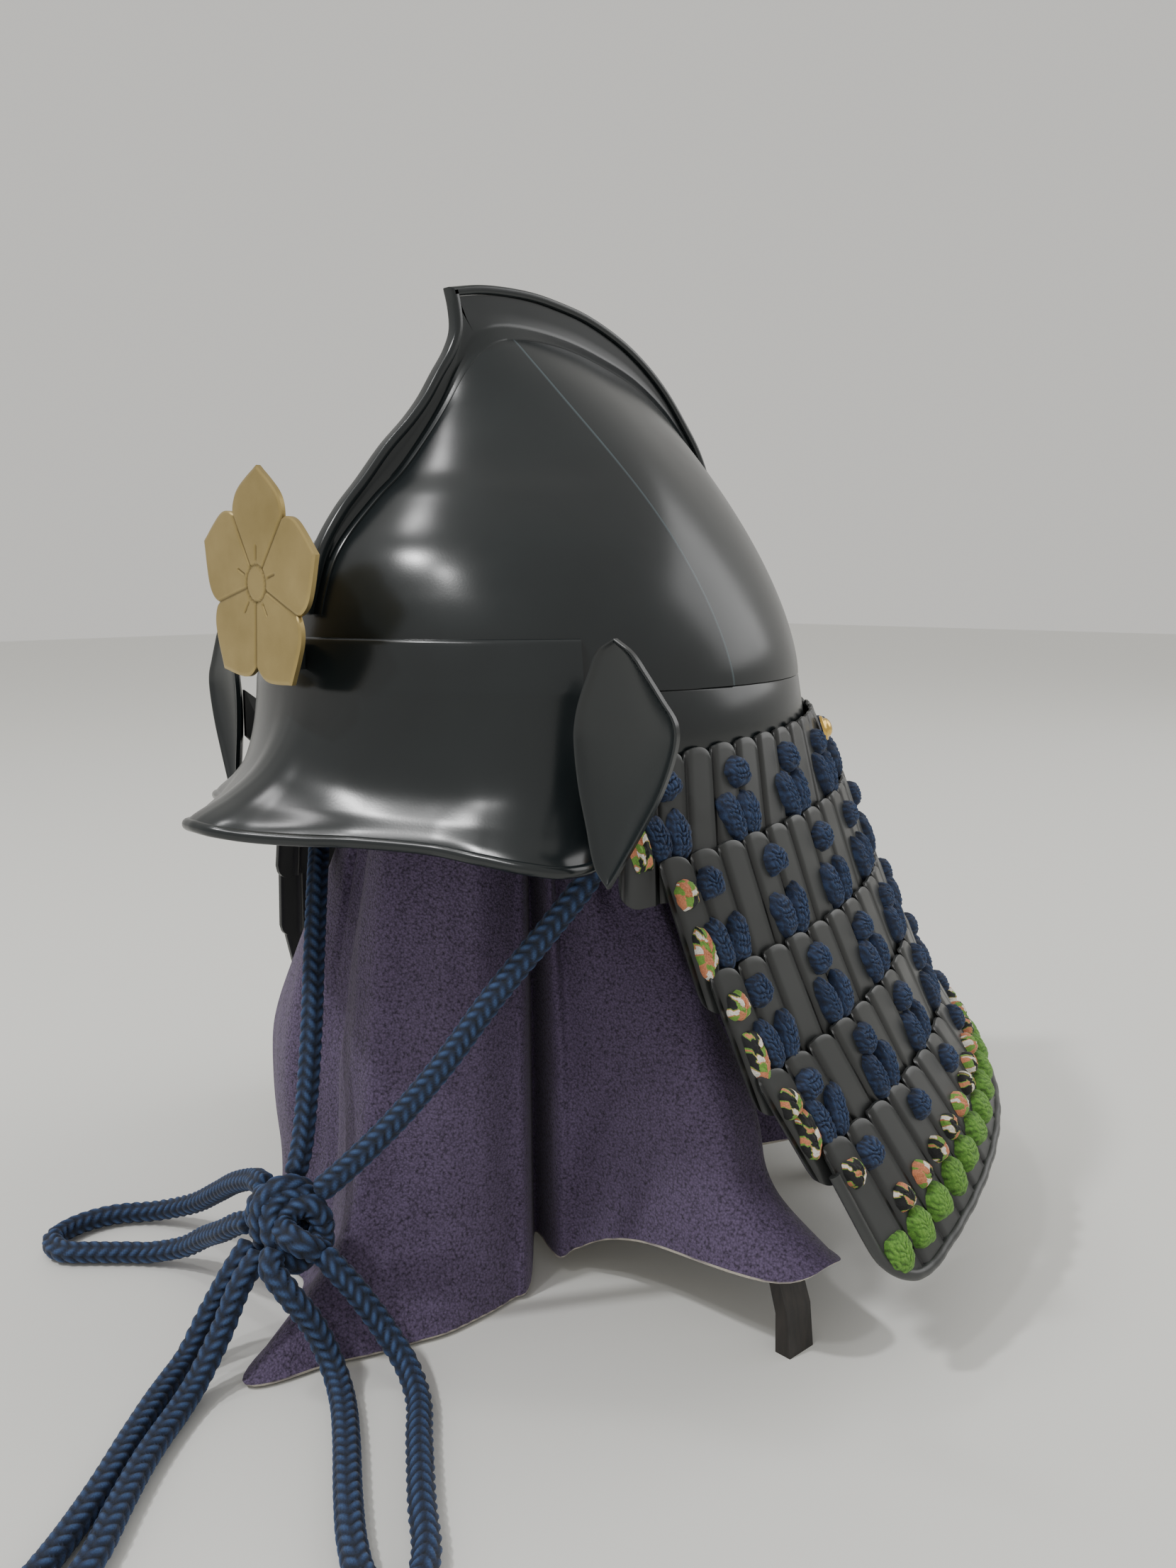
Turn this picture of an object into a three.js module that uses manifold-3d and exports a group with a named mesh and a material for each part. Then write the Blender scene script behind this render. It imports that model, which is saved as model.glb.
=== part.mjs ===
// A life-size samurai helmet resting on its plain display stand, with a cloth draped between the two.
// Millimetres, +Z up, the visor faces -Y and the wearer's left is +X. The feet stand on the plane z = 0.
import * as THREE from "three";
import { mergeVertices } from "three/addons/utils/BufferGeometryUtils.js";
import Module from "manifold-3d";

// Clearances and walls
const SEAT_GAP = 0.35;
const VISOR_GAP = 0.9;
const BOWL_WALL = 3;
const VISOR_WALL = 2.2;
const LAME_WALL = 1.6;
const WING_WALL = 2;
const CLOTH_WALL = 2;

// Bowl
const BOWL_WIDTH = 230;
const BOWL_LENGTH = 230;
const BOWL_CENTRE_Y = -18;
const BOWL_HEIGHT = 143;
const RIM_HEIGHT = 249;
const SECTION_POWER = 1.55;
const FALL_SPACING = 1.5;
const OVAL_START_Y = -55;
const OVAL_END_Y = 15;
const OVAL_PINCH = 0.15;
const CROWN_WALL_FACTOR = 1.5;
const BOWL_ROWS = 28;
const BOWL_STEPS = 7;
const BOWL_FRONT_ROWS = 13;

// Ridge along the crown
const WEB_THICKNESS = 3;
const RIM_BEAD_WIDTH = 6.4;
const RIM_BEAD_DEPTH = 3.6;
const RIM_BEAD_CHAMFER = 1.2;

// Visor
const BROW_HEIGHT = 268;
const VISOR_HALF_ANGLE = 58;
const VISOR_REACH = 45.4;
const VISOR_DROP = 79;

// Neck band and the five lames of the neck guard
const BAND_FLARE = 3.6;
const BAND_RADIUS = BOWL_WIDTH / 2 + BAND_FLARE;
const FIRST_LAME_CLEARANCE = 1.39;
const BAND_DROP = 24;
const BAND_FRONT_ANGLE = -27;
const GUARD_TOP = 229.5;
const GUARD_DROP = 197;
const GUARD_WIDTH = 404;
const GUARD_BACK = 222;
const GUARD_CENTRE_Y = -38;
const SCALLOPS = 39;
const SCALLOP_DEPTH = 4.2;
const RIB_HEIGHT = 1.2;
const LAME_OVERLAP = 15;
const LAME_CORNER = 9;
const LOWEST_LAME_CORNER = 22;

// Side wings
const WING_HEIGHT = 84;
const WING_WIDTH = 41;
const WING_FOOT = 186;
const WING_CENTRE = { x: 132, y: -97 };
const WING_TURN = 10;
const WING_DISH = 5;

// Crest
const CREST_RADIUS = 42.5;
const CREST_THICKNESS = 2;
const CREST_CENTRE = { y: -150, z: 288 };
const CREST_LEAN = -4.6;
const BRACKET_WIDTH = 10;
const BRACKET_HEIGHT = 10;
const BRACKET_DROP = 7;

// Boss
const BOSS_RADIUS = 5.5;
const BOSS_HEIGHT = 4;
const BOSS_ANGLE = 36;
const BOSS_DROP_SHARE = 0.2;

// Stand
const HEAD_RADIUS = 50;
const HEAD_TOP = 332;
const HEAD_DEPTH = 46;
const POST_RADIUS = 13;
const HUB_HEIGHT = 92;
const HUB_DEPTH = 26;
const STAND_CENTRE_Y = -26;
const LEG_REACH = 160;
const LEG_WIDTH = 14;
const LEG_THICKNESS = 7;
const LEG_TURNS = [0, 60, 120, 180];

// Cloth
const CLOTH_TOP_RADIUS = 56;
const CLOTH_SKIRT_TOP = 310;
const CLOTH_COLLAR = 262;
const CLOTH_UPPER = 190;
const CLOTH_MIDDLE = 95;
const CLOTH_REACH = 173;
const CLOTH_LIFT = 39;

// Chin cord
const CORD_DIAMETER = 9.2;
const CORD_SIDES = 8;
const CORD_STEP = 3;
const FLOOR_GAP = 0.3;
const KNOT_CENTRE = { x: 24, y: -164, z: 52 };
const KNOT_RADII = { x: 24, y: 15, z: 18 };

// Profile of the bowl's crown in its middle plane: along runs from brow to nape, rise from rim to crown
const CROWN_PROFILE = [
  { along: 0.0, rise: 0.0 },
  { along: 0.011, rise: 0.105 },
  { along: 0.03, rise: 0.24 },
  { along: 0.061, rise: 0.357 },
  { along: 0.139, rise: 0.497 },
  { along: 0.191, rise: 0.573 },
  { along: 0.241, rise: 0.669 },
  { along: 0.283, rise: 0.762 },
  { along: 0.328, rise: 0.88 },
  { along: 0.378, rise: 0.969 },
  { along: 0.435, rise: 0.998 },
  { along: 0.561, rise: 0.991 },
  { along: 0.665, rise: 0.954 },
  { along: 0.77, rise: 0.891 },
  { along: 0.87, rise: 0.782 },
  { along: 0.935, rise: 0.652 },
  { along: 0.98, rise: 0.41 },
  { along: 1.0, rise: 0.0 },
];

// Outer edge of the ridge, first from the brow up to its hooked tip, then from the tip to the nape
const RIDGE_FRONT = [
  { along: -0.003, rise: 0.197 },
  { along: 0.013, rise: 0.287 },
  { along: 0.031, rise: 0.37 },
  { along: 0.072, rise: 0.47 },
  { along: 0.117, rise: 0.551 },
  { along: 0.167, rise: 0.645 },
  { along: 0.217, rise: 0.724 },
  { along: 0.248, rise: 0.782 },
  { along: 0.279, rise: 0.856 },
  { along: 0.306, rise: 0.92 },
  { along: 0.32, rise: 0.976 },
  { along: 0.318, rise: 1.035 },
  { along: 0.31, rise: 1.086 },
];
const RIDGE_BACK = [
  { along: 0.376, rise: 1.106 },
  { along: 0.44, rise: 1.113 },
  { along: 0.507, rise: 1.111 },
  { along: 0.57, rise: 1.098 },
  { along: 0.63, rise: 1.079 },
  { along: 0.692, rise: 1.046 },
  { along: 0.75, rise: 1.004 },
  { along: 0.809, rise: 0.945 },
  { along: 0.857, rise: 0.882 },
  { along: 0.906, rise: 0.799 },
  { along: 0.96, rise: 0.69 },
  { along: 1.003, rise: 0.53 },
  { along: 1.018, rise: 0.36 },
];

// Visor lip: turn runs from the middle to the temple, reach and drop are shares of the visor's
const VISOR_LIP = [
  { turn: 0.0, reach: 1.0, drop: 0.861 },
  { turn: 0.06, reach: 0.965, drop: 0.869 },
  { turn: 0.13, reach: 0.82, drop: 0.888 },
  { turn: 0.245, reach: 0.63, drop: 0.898 },
  { turn: 0.372, reach: 0.465, drop: 0.902 },
  { turn: 0.578, reach: 0.4, drop: 0.918 },
  { turn: 0.722, reach: 0.53, drop: 0.943 },
  { turn: 0.826, reach: 0.63, drop: 0.968 },
  { turn: 0.905, reach: 0.61, drop: 0.992 },
  { turn: 0.96, reach: 0.5, drop: 1.0 },
  { turn: 1.0, reach: 0.36, drop: 1.0 },
];

// Flare of the visor from its top edge to its lip
const VISOR_FLARE = [
  { down: 0.0, out: 0.0 },
  { down: 0.2, out: 0.01 },
  { down: 0.4, out: 0.06 },
  { down: 0.58, out: 0.17 },
  { down: 0.74, out: 0.36 },
  { down: 0.87, out: 0.64 },
  { down: 0.96, out: 0.91 },
  { down: 1.0, out: 1.0 },
];

// Top edges of the five lames and the lowest edge of the last, from the bowl down
const GUARD_LEVELS = [
  {
    drop: 0.0,
    lift: 0.043,
    width: (BAND_RADIUS + FIRST_LAME_CLEARANCE) / (GUARD_WIDTH / 2),
    back: (BAND_RADIUS + FIRST_LAME_CLEARANCE + 1) / GUARD_BACK,
    centre: BOWL_CENTRE_Y / GUARD_CENTRE_Y,
    power: 2.05,
    front: -26,
  },
  { drop: 0.168, lift: 0.071, width: 0.661, back: 0.649, centre: 0.71, power: 2.15, front: -19.6 },
  { drop: 0.369, lift: 0.096, width: 0.73, back: 0.748, centre: 0.87, power: 2.2, front: -12.4 },
  { drop: 0.551, lift: 0.157, width: 0.802, back: 0.82, centre: 0.97, power: 2.2, front: -7.3 },
  { drop: 0.706, lift: 0.147, width: 0.869, back: 0.905, centre: 1.0, power: 2.2, front: 0 },
  { drop: 1.0, lift: 0.274, width: 1.0, back: 1.0, centre: 1.0, power: 2.2, front: 4.2 },
];

// Outline of a side wing, from its lower tip to its upper one
const WING_OUTLINE = [
  { up: 0.0, inner: -0.06, outer: -0.06 },
  { up: 0.08, inner: -0.19, outer: 0.05 },
  { up: 0.25, inner: -0.28, outer: 0.27 },
  { up: 0.42, inner: -0.36, outer: 0.47 },
  { up: 0.6, inner: -0.4, outer: 0.6 },
  { up: 0.69, inner: -0.38, outer: 0.59 },
  { up: 0.77, inner: -0.33, outer: 0.47 },
  { up: 0.87, inner: -0.24, outer: 0.31 },
  { up: 0.95, inner: -0.16, outer: 0.17 },
  { up: 1.0, inner: 0.01, outer: 0.01 },
];

// One petal of the crest from its notch to its tip, as a turn from the petal's axis and a share of the radius
const PETAL_OUTLINE = [
  { turn: 36, radius: 0.715 },
  { turn: 31, radius: 0.79 },
  { turn: 25, radius: 0.845 },
  { turn: 13, radius: 0.905 },
];

// Folds of the cloth as they stand around the stand: the turn of each fold, its distance from the stand's axis
// under the bowl, halfway down and at the hem, and how high its hem hangs
const CLOTH_FOLDS = [
  { turn: -105, upper: 0.451, middle: 0.532, hem: 0.647, height: 0.026 },
  { turn: -99, upper: 0.416, middle: 0.509, hem: 0.647, height: 0.026 },
  { turn: -93, upper: 0.451, middle: 0.543, hem: 0.671, height: 0.026 },
  { turn: -85, upper: 0.462, middle: 0.555, hem: 0.763, height: 0.026 },
  { turn: -78, upper: 0.451, middle: 0.561, hem: 0.977, height: 0.026 },
  { turn: -71, upper: 0.428, middle: 0.52, hem: 0.821, height: 0.026 },
  { turn: -61, upper: 0.416, middle: 0.509, hem: 0.682, height: 0.026 },
  { turn: -51, upper: 0.393, middle: 0.451, hem: 0.543, height: 0.026 },
  { turn: -38, upper: 0.347, middle: 0.358, hem: 0.393, height: 0.051 },
  { turn: -22, upper: 0.324, middle: 0.335, hem: 0.347, height: 0.256 },
  { turn: -13, upper: 0.358, middle: 0.486, hem: 0.578, height: 0.718 },
  { turn: -6, upper: 0.393, middle: 0.705, hem: 0.925, height: 0.872 },
  { turn: 0, upper: 0.405, middle: 0.728, hem: 1, height: 1 },
  { turn: 6, upper: 0.393, middle: 0.705, hem: 0.925, height: 0.872 },
  { turn: 14, upper: 0.358, middle: 0.486, hem: 0.578, height: 0.769 },
  { turn: 30, upper: 0.324, middle: 0.335, hem: 0.358, height: 0.667 },
  { turn: 44, upper: 0.347, middle: 0.439, hem: 0.52, height: 0.718 },
  { turn: 54, upper: 0.393, middle: 0.723, hem: 0.936, height: 0.872 },
  { turn: 60, upper: 0.405, middle: 0.728, hem: 0.96, height: 0.974 },
  { turn: 66, upper: 0.393, middle: 0.723, hem: 0.936, height: 0.872 },
  { turn: 78, upper: 0.358, middle: 0.462, hem: 0.532, height: 0.769 },
  { turn: 90, upper: 0.335, middle: 0.37, hem: 0.405, height: 0.718 },
  { turn: 102, upper: 0.358, middle: 0.462, hem: 0.532, height: 0.769 },
  { turn: 114, upper: 0.393, middle: 0.723, hem: 0.936, height: 0.872 },
  { turn: 120, upper: 0.405, middle: 0.728, hem: 0.96, height: 0.974 },
  { turn: 126, upper: 0.393, middle: 0.723, hem: 0.936, height: 0.872 },
  { turn: 136, upper: 0.347, middle: 0.439, hem: 0.52, height: 0.718 },
  { turn: 150, upper: 0.324, middle: 0.335, hem: 0.358, height: 0.667 },
  { turn: 166, upper: 0.358, middle: 0.486, hem: 0.578, height: 0.769 },
  { turn: 174, upper: 0.393, middle: 0.705, hem: 0.925, height: 0.872 },
  { turn: 180, upper: 0.405, middle: 0.728, hem: 1, height: 1 },
  { turn: 186, upper: 0.393, middle: 0.705, hem: 0.925, height: 0.872 },
  { turn: 193, upper: 0.358, middle: 0.486, hem: 0.578, height: 0.718 },
  { turn: 202, upper: 0.324, middle: 0.382, hem: 0.405, height: 0.256 },
  { turn: 216, upper: 0.37, middle: 0.566, hem: 0.566, height: 0.051 },
  { turn: 227, upper: 0.416, middle: 0.636, hem: 0.647, height: 0.026 },
  { turn: 237, upper: 0.451, middle: 0.636, hem: 0.636, height: 0.026 },
  { turn: 247, upper: 0.439, middle: 0.601, hem: 0.624, height: 0.026 },
];

// Route of each stretch of the chin cord, chosen by hand
const CORD_ROUTES = {
  chin_cord_left: [
    [102.7, -55.4, 242], [102.9, -58, 225], [102, -66, 205], [100, -77, 184], [91, -88, 165], [76, -104, 138],
    [62, -119, 110], [50, -134, 88], [37, -151, 68], [30, -158, 60],
  ],
  chin_cord_right: [
    [-102.7, -55.4, 242], [-102, -60, 225], [-92, -72, 206], [-68, -90, 190], [-44, -103, 177],
    [-28, -114, 166], [-12.6, -126, 140], [-0.5, -136, 111], [6, -143, 87], [12, -150, 70], [17, -157, 61],
  ],
  bow_side_loop: [
    [16, -168, 48], [-3, -168, 42], [-20, -168, 32], [-40, -166, 21], [-58, -168, 10], [-74, -178, 4.9],
    [-88, -192, 4.9], [-100, -203, 4.9], [-112, -202, 4.9], [-118, -190, 4.9], [-116, -173, 4.9],
    [-104, -158, 6], [-84, -150, 14], [-60, -150, 28], [-36, -153, 42], [-14, -156, 52], [-5, -159, 55],
    [14, -161, 58],
  ],
  bow_front_loop: [
    [32, -168, 52], [36, -181, 44], [45, -177, 37], [52, -170, 24], [57, -166, 11], [66, -168, 4.9],
    [90, -182, 4.9], [116, -198, 4.9], [136, -208, 4.9], [150, -212, 4.9], [158, -206, 4.9],
    [152, -194, 4.9], [133, -182, 4.9], [108, -165, 4.9], [90, -152, 5.4], [75, -147, 10], [63, -149, 21],
    [55, -156, 34], [48, -161, 44], [34, -163, 53],
  ],
  tail_left: [
    [14, -166, 50], [14, -180, 36], [11, -190, 20], [13, -201, 7], [22, -214, 4.9], [38, -232, 4.9],
    [58, -253, 4.9], [74, -272, 4.9], [84, -286, 4.9],
  ],
  tail_right: [
    [25, -168, 50], [26, -184, 36], [27, -194, 20], [31, -206, 8], [40, -219, 4.9], [54, -236, 4.9],
    [69, -251, 4.9], [85, -266, 4.9], [96, -280, 4.9],
  ],
};

const radians = THREE.MathUtils.degToRad;
const vector = (x, y, z) => new THREE.Vector3(x, y, z);
const mix = (from, to, share) => from + (to - from) * share;
const shares = (count) => Array.from({ length: count + 1 }, (_, step) => step / count);
const helmet = new THREE.Group();

// Value of a table's column at a key, eased smoothly between its rows
function read(table, key, column, at) {
  const last = table.length - 1;
  let row = 0;
  while (row < last - 1 && at > table[row + 1][key]) row += 1;
  const slope = (index) => {
    const before = table[Math.max(index - 1, 0)];
    const after = table[Math.min(index + 1, last)];
    return (after[column] - before[column]) / (after[key] - before[key]);
  };
  const span = table[row + 1][key] - table[row][key];
  const t = THREE.MathUtils.clamp((at - table[row][key]) / span, 0, 1);
  const rise = t * t * (3 - 2 * t);
  const ease = t * (1 - t) * span;
  return mix(table[row][column], table[row + 1][column], rise)
    + ease * ((1 - t) * slope(row) - t * slope(row + 1));
}

// Closed geometry from points and triangles: doubles merged, empty triangles dropped, faces turned outwards
function closedGeometry(points, triangles) {
  const loose = new THREE.BufferGeometry();
  loose.setAttribute("position", new THREE.Float32BufferAttribute(points.flatMap((p) => [p.x, p.y, p.z]), 3));
  loose.setIndex(triangles.flat());
  const merged = mergeVertices(loose, 1e-3);
  const position = merged.getAttribute("position");
  const corner = (index) => new THREE.Vector3().fromBufferAttribute(position, index);
  const index = merged.getIndex().array;
  const kept = [];
  let volume = 0;
  for (let at = 0; at < index.length; at += 3) {
    const [a, b, c] = [index[at], index[at + 1], index[at + 2]];
    if (a === b || b === c || c === a) continue;
    kept.push([a, b, c]);
    volume += corner(a).dot(corner(b).cross(corner(c)));
  }
  merged.setIndex(kept.flatMap(([a, b, c]) => (volume > 0 ? [a, b, c] : [a, c, b])));
  return merged;
}

// Wall between an outer and an inner grid of points, closed all round its edge
function wall(outer, inner, wraps = false) {
  const rows = outer.length;
  const columns = outer[0].length;
  const points = [...outer.flat(), ...inner.flat()];
  const at = (side, row, column) => side * rows * columns + row * columns + (column % columns);
  const triangles = [];
  const quad = (a, b, c, d) => triangles.push([a, b, c], [a, c, d]);
  const lastColumn = wraps ? columns : columns - 1;
  for (let row = 0; row < rows - 1; row += 1) {
    for (let column = 0; column < lastColumn; column += 1) {
      quad(at(0, row, column), at(0, row, column + 1), at(0, row + 1, column + 1), at(0, row + 1, column));
      quad(at(1, row, column), at(1, row + 1, column), at(1, row + 1, column + 1), at(1, row, column + 1));
    }
    if (!wraps) {
      quad(at(0, row, 0), at(0, row + 1, 0), at(1, row + 1, 0), at(1, row, 0));
      quad(at(0, row, lastColumn), at(1, row, lastColumn), at(1, row + 1, lastColumn), at(0, row + 1, lastColumn));
    }
  }
  for (let column = 0; column < lastColumn; column += 1) {
    quad(at(0, 0, column), at(1, 0, column), at(1, 0, column + 1), at(0, 0, column + 1));
    quad(at(0, rows - 1, column), at(0, rows - 1, column + 1), at(1, rows - 1, column + 1), at(1, rows - 1, column));
  }
  return closedGeometry(points, triangles);
}

// Solid through closed rings of equal length, with a flat fan over its first and last ring
function loft(rings) {
  const size = rings[0].length;
  const middle = (ring) => ring.reduce((sum, p) => sum.add(p), vector(0, 0, 0)).divideScalar(size);
  const points = [...rings.flat(), middle(rings[0]), middle(rings[rings.length - 1])];
  const triangles = [];
  for (let row = 0; row < rings.length - 1; row += 1) {
    for (let column = 0; column < size; column += 1) {
      const next = (column + 1) % size;
      const [a, b] = [row * size + column, row * size + next];
      triangles.push([a, b, b + size], [a, b + size, a + size]);
    }
  }
  const start = (rings.length - 1) * size;
  for (let column = 0; column < size; column += 1) {
    const next = (column + 1) % size;
    triangles.push([points.length - 2, next, column], [points.length - 1, start + column, start + next]);
  }
  return closedGeometry(points, triangles);
}

function add(name, geometry, material) {
  const mesh = new THREE.Mesh(geometry, material.clone());
  mesh.name = name;
  helmet.add(mesh);
  return mesh;
}

// Finishes
const satinBlack = new THREE.MeshStandardMaterial({ color: 0x2c3133, roughness: 0.3, metalness: 0.35 });
const lacquerGrey = new THREE.MeshStandardMaterial({ color: 0x3a3b3d, roughness: 0.45, metalness: 0.2 });
const antiqueGold = new THREE.MeshStandardMaterial({ color: 0xb09a62, roughness: 0.4, metalness: 1 });
const brightBrass = new THREE.MeshStandardMaterial({ color: 0xc9a24a, roughness: 0.25, metalness: 1 });
const darkWood = new THREE.MeshStandardMaterial({ color: 0x26221f, roughness: 0.6, metalness: 0 });
const purpleCrepe = new THREE.MeshStandardMaterial({ color: 0x4a3859, roughness: 0.9, metalness: 0 });
const navyBraid = new THREE.MeshStandardMaterial({ color: 0x24395c, roughness: 0.9, metalness: 0 });

// Bowl: it hangs from its crown line and runs down to an oval rim
const crownPoint = (row) => vector(
  0,
  BOWL_CENTRE_Y + (row.along - 0.5) * BOWL_LENGTH,
  RIM_HEIGHT + row.rise * BOWL_HEIGHT,
);
const crownLine = new THREE.CatmullRomCurve3(CROWN_PROFILE.map(crownPoint));

// Half width of the rim at a place along the helmet, as a share of the widest one
function rimShare(y) {
  return Math.sqrt(Math.max(0, 1 - ((y - BOWL_CENTRE_Y) / (BOWL_LENGTH / 2)) ** 2));
}

// Crown height over a place along the helmet, from the same profile
const crownSamples = crownLine.getSpacedPoints(200);
function crownHeight(y) {
  const next = crownSamples.findIndex((point) => point.y >= y);
  if (next <= 0) return RIM_HEIGHT;
  const [low, high] = [crownSamples[next - 1], crownSamples[next]];
  return mix(low.z, high.z, (y - low.y) / (high.y - low.y));
}

// Place along the helmet where the crown line reaches a height, before its top or behind it
const crownTop = crownSamples.reduce((top, point, index) => (point.z > crownSamples[top].z ? index : top), 0);
const crownFront = crownSamples.slice(0, crownTop + 1);
const crownBack = crownSamples.slice(crownTop).reverse();
function crownPlace(rising, z) {
  const next = Math.max(1, rising.findIndex((point) => point.z >= z));
  const [low, high] = [rising[next - 1], rising[next]];
  return mix(low.y, high.y, (z - low.z) / (high.z - low.z));
}

// Half width at a place and a height: sections across the helmet behind, level ovals in front
function bowlHalfWidth(y, z) {
  const crown = crownHeight(y);
  if (crown <= z) return -1;
  const rise = Math.max(0, z - RIM_HEIGHT);
  const section = (BOWL_WIDTH / 2) * rimShare(y) * (1 - (rise / (crown - RIM_HEIGHT)) ** SECTION_POWER);
  const [front, back] = [crownPlace(crownFront, z), crownPlace(crownBack, z)];
  const place = (2 * y - front - back) / (back - front);
  const share = rise / BOWL_HEIGHT;
  const roundness = Math.max(0, 1 - place ** 2) ** (0.5 + OVAL_PINCH * share);
  const oval = (BOWL_WIDTH / 2) * (1 - share ** SECTION_POWER) * roundness;
  return mix(section, oval, THREE.MathUtils.smoothstep(-y, -OVAL_END_Y, -OVAL_START_Y));
}

// Grid over the whole bowl, drawn in by a depth for its inner side
function bowlGrid(stations, steps, depth) {
  const across = 1 - depth / (BOWL_WIDTH / 2);
  const along = 1 - depth / (BOWL_LENGTH / 2);
  const up = 1 - (depth * CROWN_WALL_FACTOR) / BOWL_HEIGHT;
  return shares(stations).map((station) => {
    const crown = crownLine.getPointAt(station);
    const height = crown.z - RIM_HEIGHT;
    const y = BOWL_CENTRE_Y + (crown.y - BOWL_CENTRE_Y) * along;
    return shares(2 * steps).map((share) => {
      const side = 2 * share - 1;
      const rise = height * (1 - Math.abs(side) ** FALL_SPACING);
      const halfWidth = Math.max(0, bowlHalfWidth(crown.y, RIM_HEIGHT + rise)) * across;
      return vector(side === 0 ? 0 : Math.sign(side) * halfWidth, y, RIM_HEIGHT + rise * up);
    });
  });
}

// Part of a grid between two rows and two columns, parted from its neighbours by half a gap on the cut sides
function plateOf(grid, rows, columns) {
  const [firstRow, lastRow] = rows;
  const [firstColumn, lastColumn] = columns;
  const towards = (row, column) => {
    const home = grid[row][column];
    const rowStep = (row === firstRow && row > 0) - (row === lastRow && row < grid.length - 1);
    const columnStep = (column === firstColumn && column > 0) - (column === lastColumn && column < grid[0].length - 1);
    const moved = home.clone();
    if (rowStep !== 0) moved.add(grid[row + rowStep][column].clone().sub(home).setLength(SEAT_GAP / 2));
    if (columnStep !== 0) moved.add(grid[row][column + columnStep].clone().sub(home).setLength(SEAT_GAP / 2));
    return moved;
  };
  return grid.slice(firstRow, lastRow + 1).map((line, row) => (
    line.slice(firstColumn, lastColumn + 1).map((_, column) => towards(firstRow + row, firstColumn + column))
  ));
}
const BOWL_PLATES = {
  bowl_front_right: [[0, BOWL_FRONT_ROWS], [0, BOWL_STEPS]],
  bowl_front_left: [[0, BOWL_FRONT_ROWS], [BOWL_STEPS, 2 * BOWL_STEPS]],
  bowl_back_right: [[BOWL_FRONT_ROWS, BOWL_ROWS], [0, BOWL_STEPS]],
  bowl_back_left: [[BOWL_FRONT_ROWS, BOWL_ROWS], [BOWL_STEPS, 2 * BOWL_STEPS]],
};
for (const [name, [rows, columns]] of Object.entries(BOWL_PLATES)) {
  const sides = [0, BOWL_WALL].map((depth) => plateOf(bowlGrid(BOWL_ROWS, BOWL_STEPS, depth), rows, columns));
  add(name, wall(sides[0], sides[1]), satinBlack);
}

// Distance from the bowl's axis to its outer side, in a direction turned from the front, at a height
function bowlRadius(turn, height) {
  const z = Math.max(height, RIM_HEIGHT);
  let [inside, outside] = [0, BOWL_LENGTH];
  for (let step = 0; step < 40; step += 1) {
    const radius = (inside + outside) / 2;
    const x = Math.abs(radius * Math.sin(turn));
    const y = BOWL_CENTRE_Y - radius * Math.cos(turn);
    if (x <= bowlHalfWidth(y, z)) inside = radius;
    else outside = radius;
  }
  return outside;
}

// Ridge: a thin web standing on the crown line under a bead that follows its outer edge
function smoothLine(rows, count) {
  return new THREE.CatmullRomCurve3(rows.map(crownPoint)).getSpacedPoints(count);
}
const ridgeFront = smoothLine(RIDGE_FRONT, 12);
const ridgeBack = smoothLine([RIDGE_FRONT[RIDGE_FRONT.length - 1], ...RIDGE_BACK], 18);
const ridgeEdge = [...ridgeFront, ...ridgeBack.slice(1)];

// Line in the middle plane, moved sideways by a distance, with mitred corners
function offsetLine(line, distance) {
  return line.map((point, index) => {
    const before = line[Math.max(index - 1, 0)];
    const after = line[Math.min(index + 1, line.length - 1)];
    const into = point.clone().sub(before).normalize();
    const out = after.clone().sub(point).normalize();
    if (into.lengthSq() === 0) into.copy(out);
    if (out.lengthSq() === 0) out.copy(into);
    const normal = vector(0, out.z + into.z, -(out.y + into.y)).normalize();
    const square = vector(0, into.z, -into.y);
    return point.clone().addScaledVector(normal, distance / Math.max(normal.dot(square), 0.5));
  });
}

// Rings of the bead's section, which is chamfered along its outer corners
function beadRings() {
  const half = RIM_BEAD_WIDTH / 2;
  const section = [
    [-half + RIM_BEAD_CHAMFER, 0], [half - RIM_BEAD_CHAMFER, 0], [half, RIM_BEAD_CHAMFER],
    [half, RIM_BEAD_DEPTH], [-half, RIM_BEAD_DEPTH], [-half, RIM_BEAD_CHAMFER],
  ];
  const lines = section.map(([x, depth]) => offsetLine(ridgeEdge, depth).map((p) => vector(x, p.y, p.z)));
  return ridgeEdge.map((_, index) => lines.map((line) => line[index]));
}
add("ridge_rim", loft(beadRings()), satinBlack);

function ridgeWeb() {
  const edge = offsetLine(ridgeEdge, RIM_BEAD_DEPTH + SEAT_GAP);
  const first = edge[0];
  const last = edge[edge.length - 1];
  const foot = offsetLine(crownLine.getSpacedPoints(48), -SEAT_GAP).filter((point) => (
    point.z > (point.y < BOWL_CENTRE_Y ? first.z : last.z)
  ));
  const outline = [...edge, ...foot.reverse()].map((point) => new THREE.Vector2(point.y, point.z));
  const web = new THREE.ExtrudeGeometry(new THREE.Shape(outline), { depth: WEB_THICKNESS, bevelEnabled: false });
  web.translate(0, 0, -WEB_THICKNESS / 2);
  web.applyMatrix4(new THREE.Matrix4().set(0, 0, 1, 0, 1, 0, 0, 0, 0, 1, 0, 0, 0, 0, 0, 1));
  return web;
}
add("ridge_web", ridgeWeb(), satinBlack);

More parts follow.
